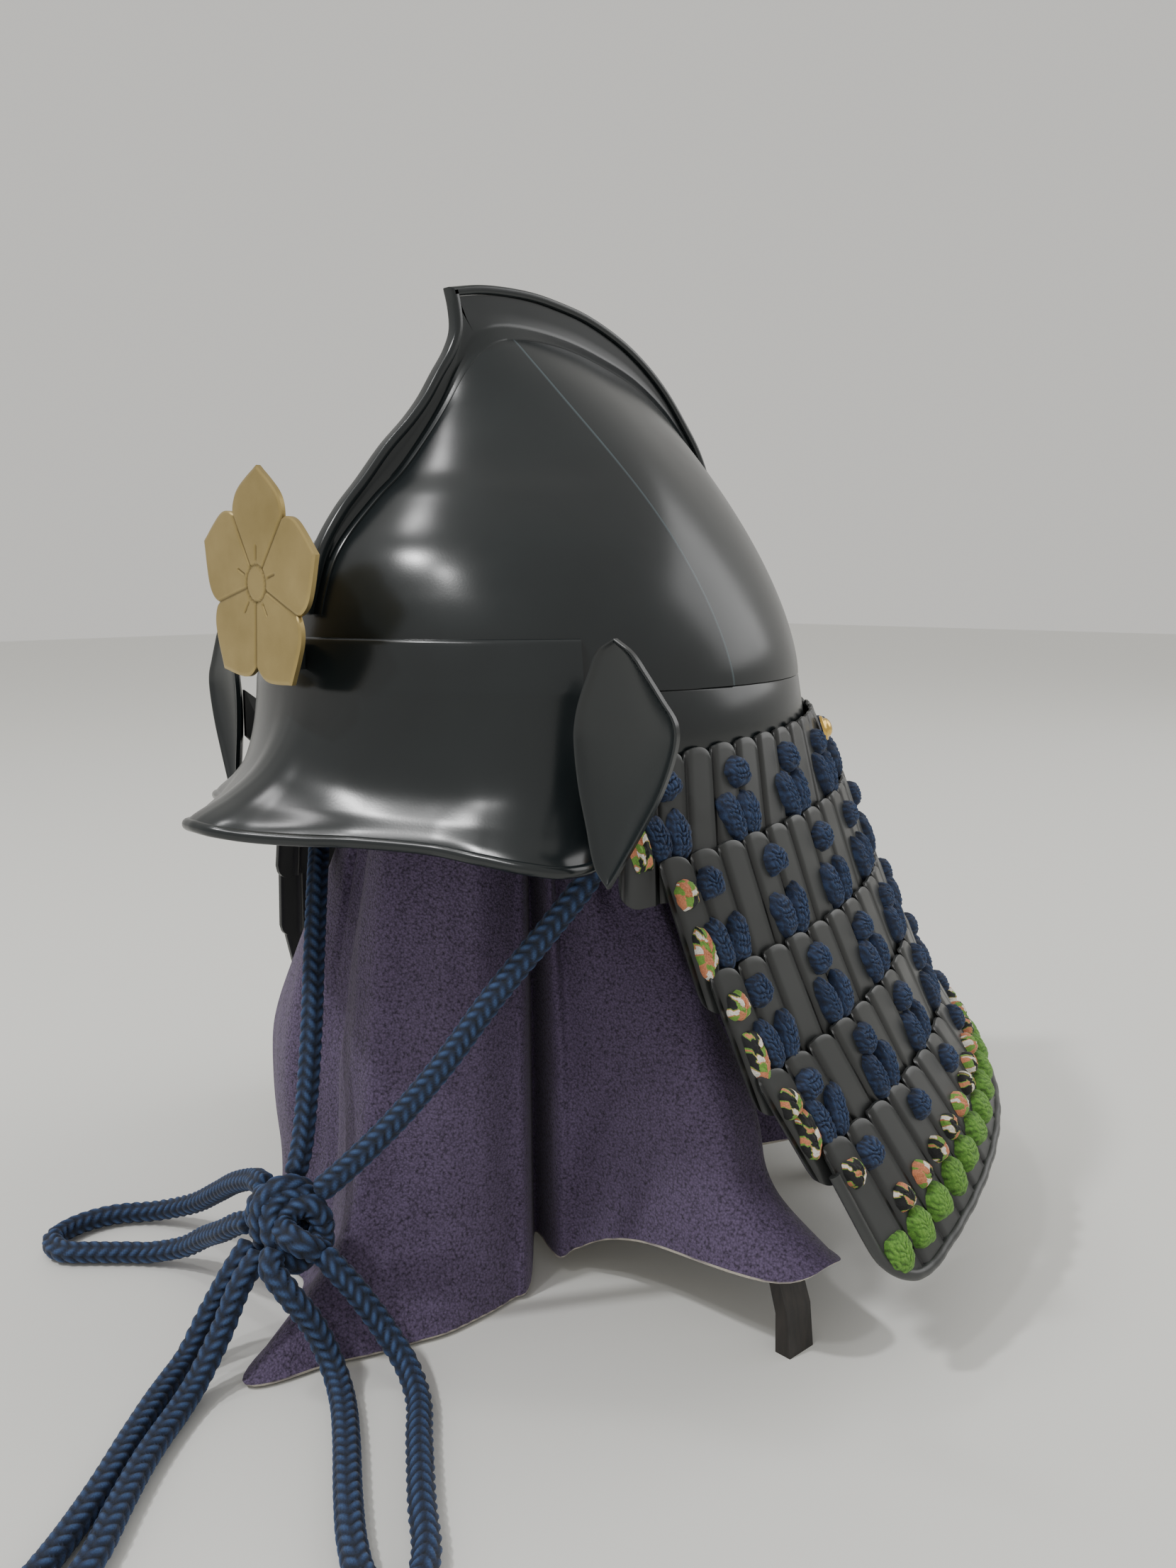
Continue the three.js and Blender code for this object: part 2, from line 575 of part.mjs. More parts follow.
// Visor: hugs the bowl at the brow and flares to a lip that reaches furthest in front
function visorGrid(depth) {
  return VISOR_FLARE.map((flare) => shares(36).map((share) => {
    const side = 2 * share - 1;
    const turn = radians(VISOR_HALF_ANGLE) * side;
    const drop = VISOR_DROP * read(VISOR_LIP, "turn", "drop", Math.abs(side));
    const reach = VISOR_REACH * read(VISOR_LIP, "turn", "reach", Math.abs(side));
    const z = BROW_HEIGHT - drop * flare.down;
    const radius = bowlRadius(turn, z) + VISOR_GAP + VISOR_WALL - depth + reach * flare.out;
    const lift = (VISOR_WALL - depth) * flare.out;
    return vector(radius * Math.sin(turn), BOWL_CENTRE_Y - radius * Math.cos(turn), z + lift);
  }));
}
add("visor", wall(visorGrid(0), visorGrid(VISOR_WALL)), satinBlack);

// Oval ring of the neck guard at one of its levels, at a turn from the wearer's left towards the nape
function guardRing(level, turn) {
  const row = GUARD_LEVELS[level];
  const halfWidth = (row.width * GUARD_WIDTH) / 2;
  const back = row.back * GUARD_BACK;
  const [cosine, sine] = [Math.cos(turn), Math.sin(turn)];
  const radius = (Math.abs(cosine / halfWidth) ** row.power + Math.abs(sine / back) ** row.power) ** (-1 / row.power);
  const lift = row.lift * GUARD_DROP * sine;
  return vector(
    radius * cosine,
    row.centre * GUARD_CENTRE_Y + radius * sine,
    GUARD_TOP - row.drop * GUARD_DROP + lift * (1 - 0.22 * Math.abs(sine) ** 4),
  );
}

// Neck band: continues the bowl's rim downwards behind the visor and carries the first lame
function bandGrid(depth) {
  return shares(2).map((down) => shares(36).map((share) => {
    const turn = radians(mix(BAND_FRONT_ANGLE, 180 - BAND_FRONT_ANGLE, share));
    const radius = BOWL_WIDTH / 2 + BAND_FLARE * down - depth;
    return vector(
      radius * Math.cos(turn),
      BOWL_CENTRE_Y + radius * Math.sin(turn),
      RIM_HEIGHT - SEAT_GAP - BAND_DROP * down,
    );
  }));
}
add("neck_band", wall(bandGrid(0), bandGrid(LAME_WALL)), satinBlack);

// Lames: each hangs from its own level and tucks under the one below it
const LAME_COUNT = GUARD_LEVELS.length - 1;

// How many degrees further forward each lame's foot reaches than the top edge of the next
const LAME_LEAD = [8, 2, 2, 2];

// Turn of a place on a lame's top edge, at a share from one front end round the nape to the other
function guardTurn(level, share) {
  const front = GUARD_LEVELS[level].front;
  return radians(mix(front, 180 - front, share));
}

// Smooth outer side of a lame, at a share along it and a share down it
function lameLine(lame, share, down) {
  const top = guardRing(lame, guardTurn(lame, share));
  const lowest = lame === LAME_COUNT - 1;
  return top.lerp(lowest ? guardRing(LAME_COUNT, guardTurn(LAME_COUNT, share)) : lameFoot(lame, share), down);
}

// Foot of a lame: an overlap below the top edge of the next one, clear of that one's inner side all the way
function lameFoot(lame, share) {
  const front = GUARD_LEVELS[lame + 1].front;
  const turn = guardTurn(lame + 1, share) - radians(LAME_LEAD[lame]) * (1 - 2 * share);
  const below = (THREE.MathUtils.radToDeg(turn) - front) / (180 - 2 * front);
  const top = guardRing(lame, guardTurn(lame, share));
  const edge = lameLine(lame + 1, below, 0);
  const next = lameLine(lame + 1, below, 1);
  const foot = edge.clone().lerp(next, LAME_OVERLAP / (edge.z - next.z));
  const outwards = foot.clone().sub(vector(0, BOWL_CENTRE_Y, foot.z)).normalize();
  const inset = LAME_WALL + RIB_HEIGHT + SEAT_GAP;
  foot.addScaledVector(outwards, -inset);
  const passing = (top.z - edge.z) / (top.z - foot.z);
  const excess = top.lerp(foot, passing).sub(edge).dot(outwards) + inset;
  return foot.addScaledVector(outwards, -Math.max(excess, 0) / passing);
}

// How far up a lame its lower front corners are cut, by how far along its foot a place is from the end
function cornerRise(lame, share) {
  const corner = lame === LAME_COUNT - 1 ? LOWEST_LAME_CORNER : LAME_CORNER;
  const foot = lameLine(lame, share, 1);
  const end = lameLine(lame, share < 0.5 ? 0 : 1, 1);
  const reach = Math.min(Math.hypot(foot.x - end.x, foot.y - end.y) / corner, 1);
  return (corner * (1 - Math.sqrt(1 - (1 - reach) ** 2))) / lameHeight(lame, share);
}

function lameHeight(lame, share) {
  return lameLine(lame, share, 0).z - lameLine(lame, share, 1).z;
}

// Grid of one lame: a rib at each joint between scallops, and the joints dip below the scallops' tops
function lameGrid(lame, depth) {
  return shares(1).map((down) => shares(SCALLOPS * 3).map((share, column) => {
    const joint = column % 3 === 0;
    const dip = joint ? SCALLOP_DEPTH / lameHeight(lame, share) : 0;
    const point = lameLine(lame, share, down === 0 ? dip : 1 - cornerRise(lame, share));
    const outwards = point.clone().sub(vector(0, BOWL_CENTRE_Y, point.z)).normalize();
    point.addScaledVector(outwards, (joint ? RIB_HEIGHT : 0) - depth);
    return point;
  }));
}
for (let lame = 0; lame < LAME_COUNT; lame += 1) {
  add(`neck_lame_${lame + 1}`, wall(lameGrid(lame, 0), lameGrid(lame, LAME_WALL)), lacquerGrey);
}

// Side wings: dished leaves that stand out from the temples, each on a strap from the first lame's end
const wingOut = vector(Math.cos(radians(WING_TURN)), Math.sin(radians(WING_TURN)), 0);
const wingFace = vector(Math.sin(radians(WING_TURN)), -Math.cos(radians(WING_TURN)), 0);
function wingPoint(up, across, depth) {
  const inner = read(WING_OUTLINE, "up", "inner", up) * WING_WIDTH;
  const outer = read(WING_OUTLINE, "up", "outer", up) * WING_WIDTH;
  const dish = WING_DISH * (1 - (2 * across - 1) ** 2) * (1 - (2 * up - 1) ** 2);
  return vector(WING_CENTRE.x, WING_CENTRE.y, WING_FOOT + WING_HEIGHT * up)
    .addScaledVector(wingOut, mix(inner, outer, across))
    .addScaledVector(wingFace, -dish - depth);
}
function mirrored(points, side) {
  return points.map((row) => row.map((point) => vector(point.x * side, point.y, point.z)));
}
for (const [name, side] of [["left", 1], ["right", -1]]) {
  const face = shares(10).map((up) => shares(6).map((across) => wingPoint(up, across, 0)));
  const back = shares(10).map((up) => shares(6).map((across) => wingPoint(up, across, WING_WALL)));
  add(`side_wing_${name}`, wall(mirrored(face, side), mirrored(back, side)), satinBlack);
  const strap = [0.62, 0.36].map((up, index) => {
    const start = wingPoint(up, 0.22, WING_WALL + SEAT_GAP);
    const end = lameLine(0, 0, mix(0.12, 0.5, index));
    const run = end.clone().sub(start).setZ(0).normalize();
    return [start, end.addScaledVector(run, -SEAT_GAP)];
  });
  const across = vector(1, 0, 0).multiplyScalar(WING_WALL);
  const inner = strap.map((row) => row.map((point) => point.clone().sub(across)));
  add(`wing_strap_${name}`, wall(mirrored(strap, side), mirrored(inner, side)), satinBlack);
}

// Crest: a five-petalled flower cut from plate, on a plain bracket from the visor
function crestShape() {
  const points = [];
  for (let petal = 0; petal < 5; petal += 1) {
    const axis = 90 + CREST_LEAN - petal * 72;
    const rising = PETAL_OUTLINE.map((row) => [axis + row.turn, row.radius]);
    const falling = PETAL_OUTLINE.slice(1).map((row) => [axis - row.turn, row.radius]).reverse();
    points.push(...rising, [axis, 1], ...falling);
  }
  return new THREE.Shape(points.map(([turn, radius]) => new THREE.Vector2(
    CREST_RADIUS * radius * Math.cos(radians(turn)),
    CREST_RADIUS * radius * Math.sin(radians(turn)),
  )));
}
const crest = new THREE.ExtrudeGeometry(crestShape(), { depth: CREST_THICKNESS, bevelEnabled: false });
const flower = add("crest_flower", crest, antiqueGold);
flower.rotation.x = Math.PI / 2;
flower.position.set(0, CREST_CENTRE.y, CREST_CENTRE.z);

function crestBracket() {
  const z = BROW_HEIGHT - BRACKET_DROP;
  const start = CREST_CENTRE.y + SEAT_GAP;
  const end = BOWL_CENTRE_Y - bowlRadius(0, z - BRACKET_HEIGHT / 2) - VISOR_WALL - VISOR_GAP - SEAT_GAP;
  const block = new THREE.BoxGeometry(BRACKET_WIDTH, end - start, BRACKET_HEIGHT);
  return block.translate(0, (start + end) / 2, z);
}
add("crest_bracket", crestBracket(), satinBlack);

// Bosses that pin the first lame to the neck band
for (const [name, side] of [["left", 1], ["right", -1]]) {
  const front = GUARD_LEVELS[0].front;
  const share = (BOSS_ANGLE - front) / (180 - 2 * front);
  const seat = lameLine(0, share, BOSS_DROP_SHARE);
  const along = lameLine(0, share, 0.5).sub(lameLine(0, share, 0)).normalize();
  const outwards = seat.clone().sub(vector(0, BOWL_CENTRE_Y, seat.z)).projectOnPlane(along).normalize();
  const profile = [[0, 0], [BOSS_RADIUS, 0], [BOSS_RADIUS, BOSS_HEIGHT * 0.4], [BOSS_RADIUS * 0.6, BOSS_HEIGHT], [0, BOSS_HEIGHT]];
  const dome = new THREE.LatheGeometry(profile.map(([r, h]) => new THREE.Vector2(r, h)), 12);
  const turn = new THREE.Quaternion().setFromUnitVectors(vector(0, 1, 0), vector(outwards.x * side, outwards.y, outwards.z));
  const boss = add(`brass_boss_${name}`, dome, brightBrass);
  boss.quaternion.copy(turn);
  boss.position.copy(seat.addScaledVector(outwards, RIB_HEIGHT + SEAT_GAP));
  boss.position.x *= side;
}

// Stand: a padded head on a post, and curved legs that spring from a hub
function standHead() {
  const profile = [
    [0, HEAD_TOP - HEAD_DEPTH], [HEAD_RADIUS * 0.8, HEAD_TOP - HEAD_DEPTH], [HEAD_RADIUS, HEAD_TOP - HEAD_DEPTH * 0.75],
    [HEAD_RADIUS, HEAD_TOP - HEAD_DEPTH * 0.35], [HEAD_RADIUS * 0.85, HEAD_TOP - HEAD_DEPTH * 0.12],
    [HEAD_RADIUS * 0.5, HEAD_TOP], [0, HEAD_TOP],
  ];
  return new THREE.LatheGeometry(profile.map(([r, z]) => new THREE.Vector2(r, z)), 20);
}
const head = add("stand_head", standHead(), darkWood);
head.rotation.x = Math.PI / 2;
head.position.y = STAND_CENTRE_Y;

function standPost() {
  const top = HEAD_TOP - HEAD_DEPTH - SEAT_GAP;
  const low = HUB_HEIGHT - HUB_DEPTH;
  const profile = [
    [0, low], [POST_RADIUS * 1.5, low], [POST_RADIUS * 1.5, HUB_HEIGHT], [POST_RADIUS, HUB_HEIGHT + POST_RADIUS],
    [POST_RADIUS, top], [0, top],
  ];
  return new THREE.LatheGeometry(profile.map(([r, z]) => new THREE.Vector2(r, z)), 12);
}
const post = add("stand_post", standPost(), darkWood);
post.rotation.x = Math.PI / 2;
post.position.y = STAND_CENTRE_Y;

// A leg leaves the hub level, bends down and reaches the floor on a short flat foot
function legGeometry() {
  const reach = LEG_REACH;
  const start = POST_RADIUS * 1.5 + SEAT_GAP;
  const height = HUB_HEIGHT - HUB_DEPTH / 2;
  const bend = shares(9).map((share) => {
    const turn = radians(90 * (1 - share));
    return [mix(start, reach, Math.cos(turn) ** 0.8), height * Math.sin(turn) ** 0.9];
  });
  const outer = bend.map(([x, z]) => vector(x, 0, z + (LEG_THICKNESS / 2) * (z / height)));
  const inner = bend.map(([x, z]) => vector(x - LEG_THICKNESS * (1 - z / height), 0, Math.max(z - (LEG_THICKNESS / 2) * (z / height), 0)));
  const across = (line, y) => line.map((point) => vector(point.x, y, point.z));
  const sides = [-LEG_WIDTH / 2, LEG_WIDTH / 2];
  return wall(sides.map((y) => across(outer, y)), sides.map((y) => across(inner, y)));
}
LEG_TURNS.forEach((turn, leg) => {
  const mesh = add(`stand_leg_${leg + 1}`, legGeometry(), darkWood);
  mesh.rotation.z = radians(turn);
  mesh.position.y = STAND_CENTRE_Y;
});

// Cloth: laid over the stand's head, it falls in folds that open towards the hem
const clothTop = HEAD_TOP + SEAT_GAP + CLOTH_WALL;
const CLOTH_ROWS = [
  { name: "crown", radius: 0, drop: 0 },
  { name: "head", radius: 0.6, drop: 0 },
  { name: "shoulder", radius: 0.94, drop: 5.5 },
];
function clothGrid(depth) {
  const fold = (radius, turn, z) => {
    const angle = radians(turn);
    return vector(radius * Math.cos(angle), STAND_CENTRE_Y + radius * Math.sin(angle), z);
  };
  const turns = CLOTH_FOLDS.map((row) => row.turn);
  const dome = CLOTH_ROWS.map((row) => turns.map((turn) => (
    fold(Math.max(row.radius * CLOTH_TOP_RADIUS - (row.radius > 0.6 ? depth : 0), 0), turn, clothTop - row.drop - depth)
  )));
  const neck = turns.map((turn) => fold(CLOTH_TOP_RADIUS - depth, turn, CLOTH_SKIRT_TOP));
  const collar = turns.map((turn) => fold(CLOTH_TOP_RADIUS - depth, turn, CLOTH_COLLAR));
  const line = (share, reach, height) => CLOTH_FOLDS.map((row) => fold(
    CLOTH_REACH * mix(row.middle, row.hem, share) * reach(row) - depth,
    row.turn,
    mix(CLOTH_MIDDLE, CLOTH_LIFT * row.height, height),
  ));
  const upper = CLOTH_FOLDS.map((row) => fold(CLOTH_REACH * row.upper - depth, row.turn, CLOTH_UPPER));
  const same = () => 1;
  return [...dome, neck, collar, upper, line(0, same, 0), line(0.3, same, 0.68), line(1, same, 1)];
}
const CLOTH_PANELS = {
  stand_cloth_front_left: [0, 9],
  stand_cloth_left: [9, 15],
  stand_cloth_back_left: [15, 21],
  stand_cloth_back_right: [21, 27],
  stand_cloth_right: [27, 33],
  stand_cloth_front_right: [33, 38],
};
const clothSides = [clothGrid(0), clothGrid(CLOTH_WALL)];
const capRows = CLOTH_ROWS.length + 1;
const capSides = clothSides.map((grid) => grid.slice(0, capRows + 1).map((line) => (
  line.filter((_, column) => column % 2 === 0)
)));
add("stand_cloth_cap", wall(...capSides, true), purpleCrepe);
const skirtSides = clothSides.map((grid) => grid.slice(capRows).map((line) => [...line, line[0]]));
const skirtRows = skirtSides[0].length - 1;
for (const [name, columns] of Object.entries(CLOTH_PANELS)) {
  const sides = skirtSides.map((grid) => plateOf(grid, [0, skirtRows], columns).map((line, row) => (
    line.map((point) => (row === 0 ? point.setZ(point.z - SEAT_GAP) : point))
  )));
  add(name, wall(...sides), purpleCrepe);
}

// Chin cord: two strands from the temples, a knot, and its bow with two loops and two tails
function cordGeometry(route) {
  const path = new THREE.CatmullRomCurve3(route.map(([x, y, z]) => vector(x, y, z)));
  const radius = CORD_DIAMETER / 2;
  const section = new THREE.Shape(shares(CORD_SIDES).slice(1).map((share) => new THREE.Vector2(
    radius * Math.cos(2 * Math.PI * share),
    radius * Math.sin(2 * Math.PI * share),
  )));
  const steps = Math.round(path.getLength() / (CORD_STEP * CORD_DIAMETER));
  const cord = new THREE.ExtrudeGeometry(section, { steps, extrudePath: path });
  const position = cord.getAttribute("position");
  for (let at = 0; at < position.count; at += 1) position.setZ(at, Math.max(position.getZ(at), FLOOR_GAP));
  return cord;
}
// Knot of the bow, made larger on every side by a distance
function knotGeometry(distance) {
  const ball = new THREE.SphereGeometry(1, 14, 8);
  ball.scale(KNOT_RADII.x + distance, KNOT_RADII.y + distance, KNOT_RADII.z + distance);
  return ball.translate(KNOT_CENTRE.x, KNOT_CENTRE.y, KNOT_CENTRE.z);
}

const wasm = await Module();
wasm.setup();

function solidOf(geometry) {
  const bare = geometry.clone();
  bare.deleteAttribute("normal");
  bare.deleteAttribute("uv");
  const merged = mergeVertices(bare, 1e-4);
  return new wasm.Manifold(new wasm.Mesh({
    numProp: 3,
    vertProperties: new Float32Array(merged.getAttribute("position").array),
    triVerts: new Uint32Array(merged.getIndex().array),
  }));
}

function geometryOf(solid) {
  const mesh = solid.getMesh();
  const geometry = new THREE.BufferGeometry();
  geometry.setAttribute("position", new THREE.BufferAttribute(mesh.vertProperties, 3));
  geometry.setIndex(new THREE.BufferAttribute(mesh.triVerts, 1));
  return geometry;
}

// Each stretch of cord ends at the knot's own surface
const knotRoom = solidOf(knotGeometry(SEAT_GAP));
for (const [name, route] of Object.entries(CORD_ROUTES)) {
  add(name, geometryOf(solidOf(cordGeometry(route)).subtract(knotRoom)), navyBraid);
}
add("chin_knot", knotGeometry(0), navyBraid);
const CORD_NODES = [...Object.keys(CORD_ROUTES), "chin_knot"];

// The whole stands centred over the frame's origin, the cords left out of the reckoning
const extent = new THREE.Box3();
helmet.children.filter((mesh) => !CORD_NODES.includes(mesh.name)).forEach((mesh) => extent.expandByObject(mesh));
helmet.position.y = -(extent.min.y + extent.max.y) / 2;

export default helmet;
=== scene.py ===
"""A life-size samurai helmet on its draped display stand, dressed as the real materials look."""
import logging
import math
from dataclasses import dataclass, field
from enum import Enum
from typing import Optional, Sequence

import bmesh
import bpy
import numpy as np
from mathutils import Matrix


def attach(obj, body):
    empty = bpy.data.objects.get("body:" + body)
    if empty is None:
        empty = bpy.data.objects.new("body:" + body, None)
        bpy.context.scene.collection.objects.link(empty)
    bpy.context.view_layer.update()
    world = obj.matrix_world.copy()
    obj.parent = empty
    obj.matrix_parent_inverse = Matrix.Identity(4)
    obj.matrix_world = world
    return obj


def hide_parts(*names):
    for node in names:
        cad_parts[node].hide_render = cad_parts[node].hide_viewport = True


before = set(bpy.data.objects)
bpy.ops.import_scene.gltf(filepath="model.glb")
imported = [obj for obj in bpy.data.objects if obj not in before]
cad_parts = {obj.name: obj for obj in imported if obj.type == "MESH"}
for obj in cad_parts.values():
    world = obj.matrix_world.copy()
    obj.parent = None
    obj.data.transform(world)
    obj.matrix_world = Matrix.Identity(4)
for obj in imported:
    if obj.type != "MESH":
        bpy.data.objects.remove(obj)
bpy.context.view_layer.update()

LOG = logging.getLogger("helmet")

MM = 0.001
FRAME_SHIFT = np.array([0.0, 3.1017, 0.0])
BODY = "root"
SENSOR_MM = 36.0
MERGE_M = 2e-6
THIN_EDGE_M = 1e-7


class Slot(Enum):
    """The record's material slots."""

    SHELL = "black_shell"
    LAMES = "grey_lames"
    CREST = "gilt_crest"
    BOSS = "bright_boss"
    STAND = "dark_stand"
    CLOTH = "purple_cloth"
    CORD = "navy_cord"


def linear(colour: str) -> tuple[float, float, float, float]:
    """Turns an sRGB hex value into Blender's linear colour.

    Args:
        colour: A value such as "#24395c".

    Returns:
        Red, green, blue and an alpha of one.
    """
    channels = [int(colour[at:at + 2], 16) / 255 for at in (1, 3, 5)]
    return tuple(c / 12.92 if c <= 0.04045 else ((c + 0.055) / 1.055) ** 2.4 for c in channels) + (1.0,)


def to_frame(points_mm: np.ndarray) -> np.ndarray:
    """Moves points from the helmet's own millimetres to the frame's metres."""
    return (np.asarray(points_mm, float) + FRAME_SHIFT) * MM


def ease_table(table: np.ndarray, column: int, at: np.ndarray) -> np.ndarray:
    """Reads a column of a table at keys from its first column, by cubic steps with the rows' mean slopes.

    Args:
        table: Rows of numbers, sorted by the first column.
        column: The column to read.
        at: The keys.

    Returns:
        The eased values, as many as the keys.
    """
    table = np.asarray(table, float)
    keys, values = table[:, 0], table[:, column]
    at = np.asarray(at, float)
    last = len(keys) - 1
    row = np.clip(np.searchsorted(keys, at, side="left") - 1, 0, last - 1)
    before, after = np.maximum(np.arange(last + 1) - 1, 0), np.minimum(np.arange(last + 1) + 1, last)
    slope = (values[after] - values[before]) / (keys[after] - keys[before])
    span = keys[row + 1] - keys[row]
    t = np.clip((at - keys[row]) / span, 0, 1)
    rise = t * t * (3 - 2 * t)
    bend = t * (1 - t) * span * ((1 - t) * slope[row] - t * slope[row + 1])
    return values[row] + (values[row + 1] - values[row]) * rise + bend


def smooth_line(points: np.ndarray, per_span: int = 24) -> np.ndarray:
    """Runs a centripetal Catmull-Rom line through points.

    Args:
        points: The points, one a row.
        per_span: Steps between two of them.

    Returns:
        Points along the line.
    """
    p = np.asarray(points, float)
    p = np.vstack([2 * p[0] - p[1], p, 2 * p[-1] - p[-2]])
    gap = np.maximum(np.sum(np.diff(p, axis=0) ** 2, axis=1) ** 0.25, 1e-6)
    t = (np.arange(per_span) / per_span)[None, :, None]
    p0, p1, p2, p3 = (p[k:len(p) - 3 + k][:, None, :] for k in range(4))
    g0, g1, g2 = (gap[k:len(gap) - 2 + k][:, None, None] for k in range(3))
    m1 = ((p1 - p0) / g0 - (p2 - p0) / (g0 + g1) + (p2 - p1) / g1) * g1
    m2 = ((p2 - p1) / g1 - (p3 - p1) / (g1 + g2) + (p3 - p2) / g2) * g1
    line = p1 + m1 * t + (3 * (p2 - p1) - 2 * m1 - m2) * t ** 2 + (2 * (p1 - p2) + m1 + m2) * t ** 3
    return np.vstack([line.reshape(-1, p.shape[1]), p[-2][None]])


def arc_lengths(line: np.ndarray) -> np.ndarray:
    """Length along a line at each of its points."""
    return np.concatenate([[0.0], np.cumsum(np.linalg.norm(np.diff(line, axis=0), axis=1))])


def even_points(line: np.ndarray, shares: np.ndarray) -> np.ndarray:
    """Points of a line at shares of its length."""
    run = arc_lengths(line)
    return np.stack([np.interp(shares * run[-1], run, line[:, k]) for k in range(line.shape[1])], axis=1)


def unit(vectors: np.ndarray) -> np.ndarray:
    """Vectors of length one, along the last axis."""
    return vectors / np.maximum(np.linalg.norm(vectors, axis=-1, keepdims=True), 1e-12)


def grid_normals(grid: np.ndarray) -> np.ndarray:
    """Normals of a grid, the cross product of its two directions at each point."""
    return unit(np.cross(np.gradient(grid, axis=1), np.gradient(grid, axis=0)))


def bump_at(x: np.ndarray, centre: float | np.ndarray, width: float) -> np.ndarray:
    """A bell of height one over a centre, a width to each side."""
    return np.exp(-((x - centre) / width) ** 2)


class MeshDraft:
    """Gathers grids of points in the helmet's millimetres, then makes one closed mesh object of them."""

    def __init__(self, name: str) -> None:
        """Starts an empty draft under the piece's name."""
        self.name = name
        self.points: list[np.ndarray] = []
        self.faces: list[np.ndarray] = []
        self.uvs: list[np.ndarray] = []
        self.tones: list[np.ndarray] = []
        self.count = 0

    def grid(self, points: np.ndarray, close_rows: bool = False, close_columns: bool = False,
             uv: Optional[np.ndarray] = None, tone: Optional[np.ndarray] = None) -> None:
        """Adds a grid of quads: row r, column c joins r + 1 and c + 1, wrapping where it is closed.

        Args:
            points: Rows by columns by three, in millimetres.
            close_rows: Whether the last row joins the first.
            close_columns: Whether the last column joins the first.
            uv: Rows by columns by two, in millimetres.
            tone: Rows by columns of a number that the finish reads.
        """
        rows, columns = points.shape[:2]
        r = np.arange(rows if close_rows else rows - 1)
        c = np.arange(columns if close_columns else columns - 1)
        a, b = np.meshgrid(r, c, indexing="ij")
        a2, b2 = (a + 1) % rows, (b + 1) % columns
        quads = np.stack([a * columns + b, a * columns + b2, a2 * columns + b2, a2 * columns + b], axis=-1)
        self.faces.append(quads.reshape(-1, 4) + self.count)
        self.points.append(points.reshape(-1, 3))
        self.uvs.append(np.zeros((rows * columns, 2)) if uv is None else np.asarray(uv).reshape(-1, 2))
        self.tones.append(np.zeros(rows * columns) if tone is None else np.asarray(tone, float).reshape(-1))
        self.count += rows * columns

    def shell(self, outer: np.ndarray, inner: np.ndarray, close_columns: bool = False,
              uv: Optional[np.ndarray] = None, tone: Optional[np.ndarray] = None) -> None:
        """Adds a wall between two grids, closed round its edges.

        Args:
            outer: The outer grid.
            inner: The inner grid, of the same size.
            close_columns: Whether the wall runs all the way round.
            uv: The outer grid's own coordinates, in millimetres.
            tone: Numbers for the finish, on the outer grid.
        """
        self.grid(outer, close_columns=close_columns, uv=uv, tone=tone)
        self.grid(inner, close_columns=close_columns, uv=uv, tone=tone)
        for row in (0, -1):
            edge = np.stack([outer[row], inner[row]])
            self.grid(edge, close_columns=close_columns)
        if not close_columns:
            for column in (0, -1):
                self.grid(np.stack([outer[:, column], inner[:, column]]))

    def build(self, finish: bpy.types.Material, slot: Slot, replaces: Sequence[str] = (),
              sharp: float = 35.0) -> bpy.types.Object:
        """Makes the object: doubles merged, faces turned outwards, edges over an angle kept sharp.

        Args:
            finish: The material.
            slot: The record's slot that the finish comes from. Not used.
            replaces: The CAD nodes that the piece stands for.
            sharp: The angle, in degrees, past which an edge is sharp.

        Returns:
            The finished object at the origin, riding on the only body.
        """
        points = to_frame(np.vstack(self.points))
        faces = np.vstack(self.faces)
        mesh = bpy.data.meshes.new(self.name)
        mesh.from_pydata(points.tolist(), [], faces.tolist())
        uv = mesh.uv_layers.new(name="surface_mm")
        uv.uv.foreach_set("vector", np.vstack(self.uvs)[faces.reshape(-1)].astype(np.float32).reshape(-1))
        tone = mesh.attributes.new("tone", "FLOAT", "POINT")
        tone.data.foreach_set("value", np.concatenate(self.tones).astype(np.float32))
        work = bmesh.new()
        work.from_mesh(mesh)
        bmesh.ops.remove_doubles(work, verts=work.verts, dist=MERGE_M)
        bmesh.ops.dissolve_degenerate(work, edges=work.edges, dist=THIN_EDGE_M)
        bmesh.ops.recalc_face_normals(work, faces=work.faces)
        work.to_mesh(mesh)
        work.free()
        mesh.shade_smooth()
        mesh.set_sharp_from_angle(angle=math.radians(sharp))
        mesh.materials.append(finish)
        piece = bpy.data.objects.new(self.name, mesh)
        bpy.context.scene.collection.objects.link(piece)
        return settle(piece, replaces)


def settle(piece: bpy.types.Object, replaces: Sequence[str] = ()) -> bpy.types.Object:
    """Hides the CAD nodes that a piece stands for, and lets it ride on the only body.

    Args:
        piece: The object, at the origin.
        replaces: The CAD nodes that it stands for.

    Returns:
        The same object.
    """
    if replaces:
        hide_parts(*replaces)
    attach(piece, BODY)
    LOG.info("%s: %d faces", piece.name, len(piece.data.polygons))
    return piece


def swept(line: np.ndarray, section: np.ndarray, side: np.ndarray) -> np.ndarray:
    """Carries a closed section along a line.

    Args:
        line: Points of the path.
        section: Two numbers a point, the first along the side, the second along the side's normal.
        side: One vector for each path point, roughly square to the path.

    Returns:
        A grid with one row a path point.
    """
    run = unit(np.gradient(line, axis=0))
    side = unit(side - run * np.sum(side * run, axis=1, keepdims=True))
    up = np.cross(run, side)
    return (line[:, None] + section[None, :, :1] * side[:, None] + section[None, :, 1:] * up[:, None])


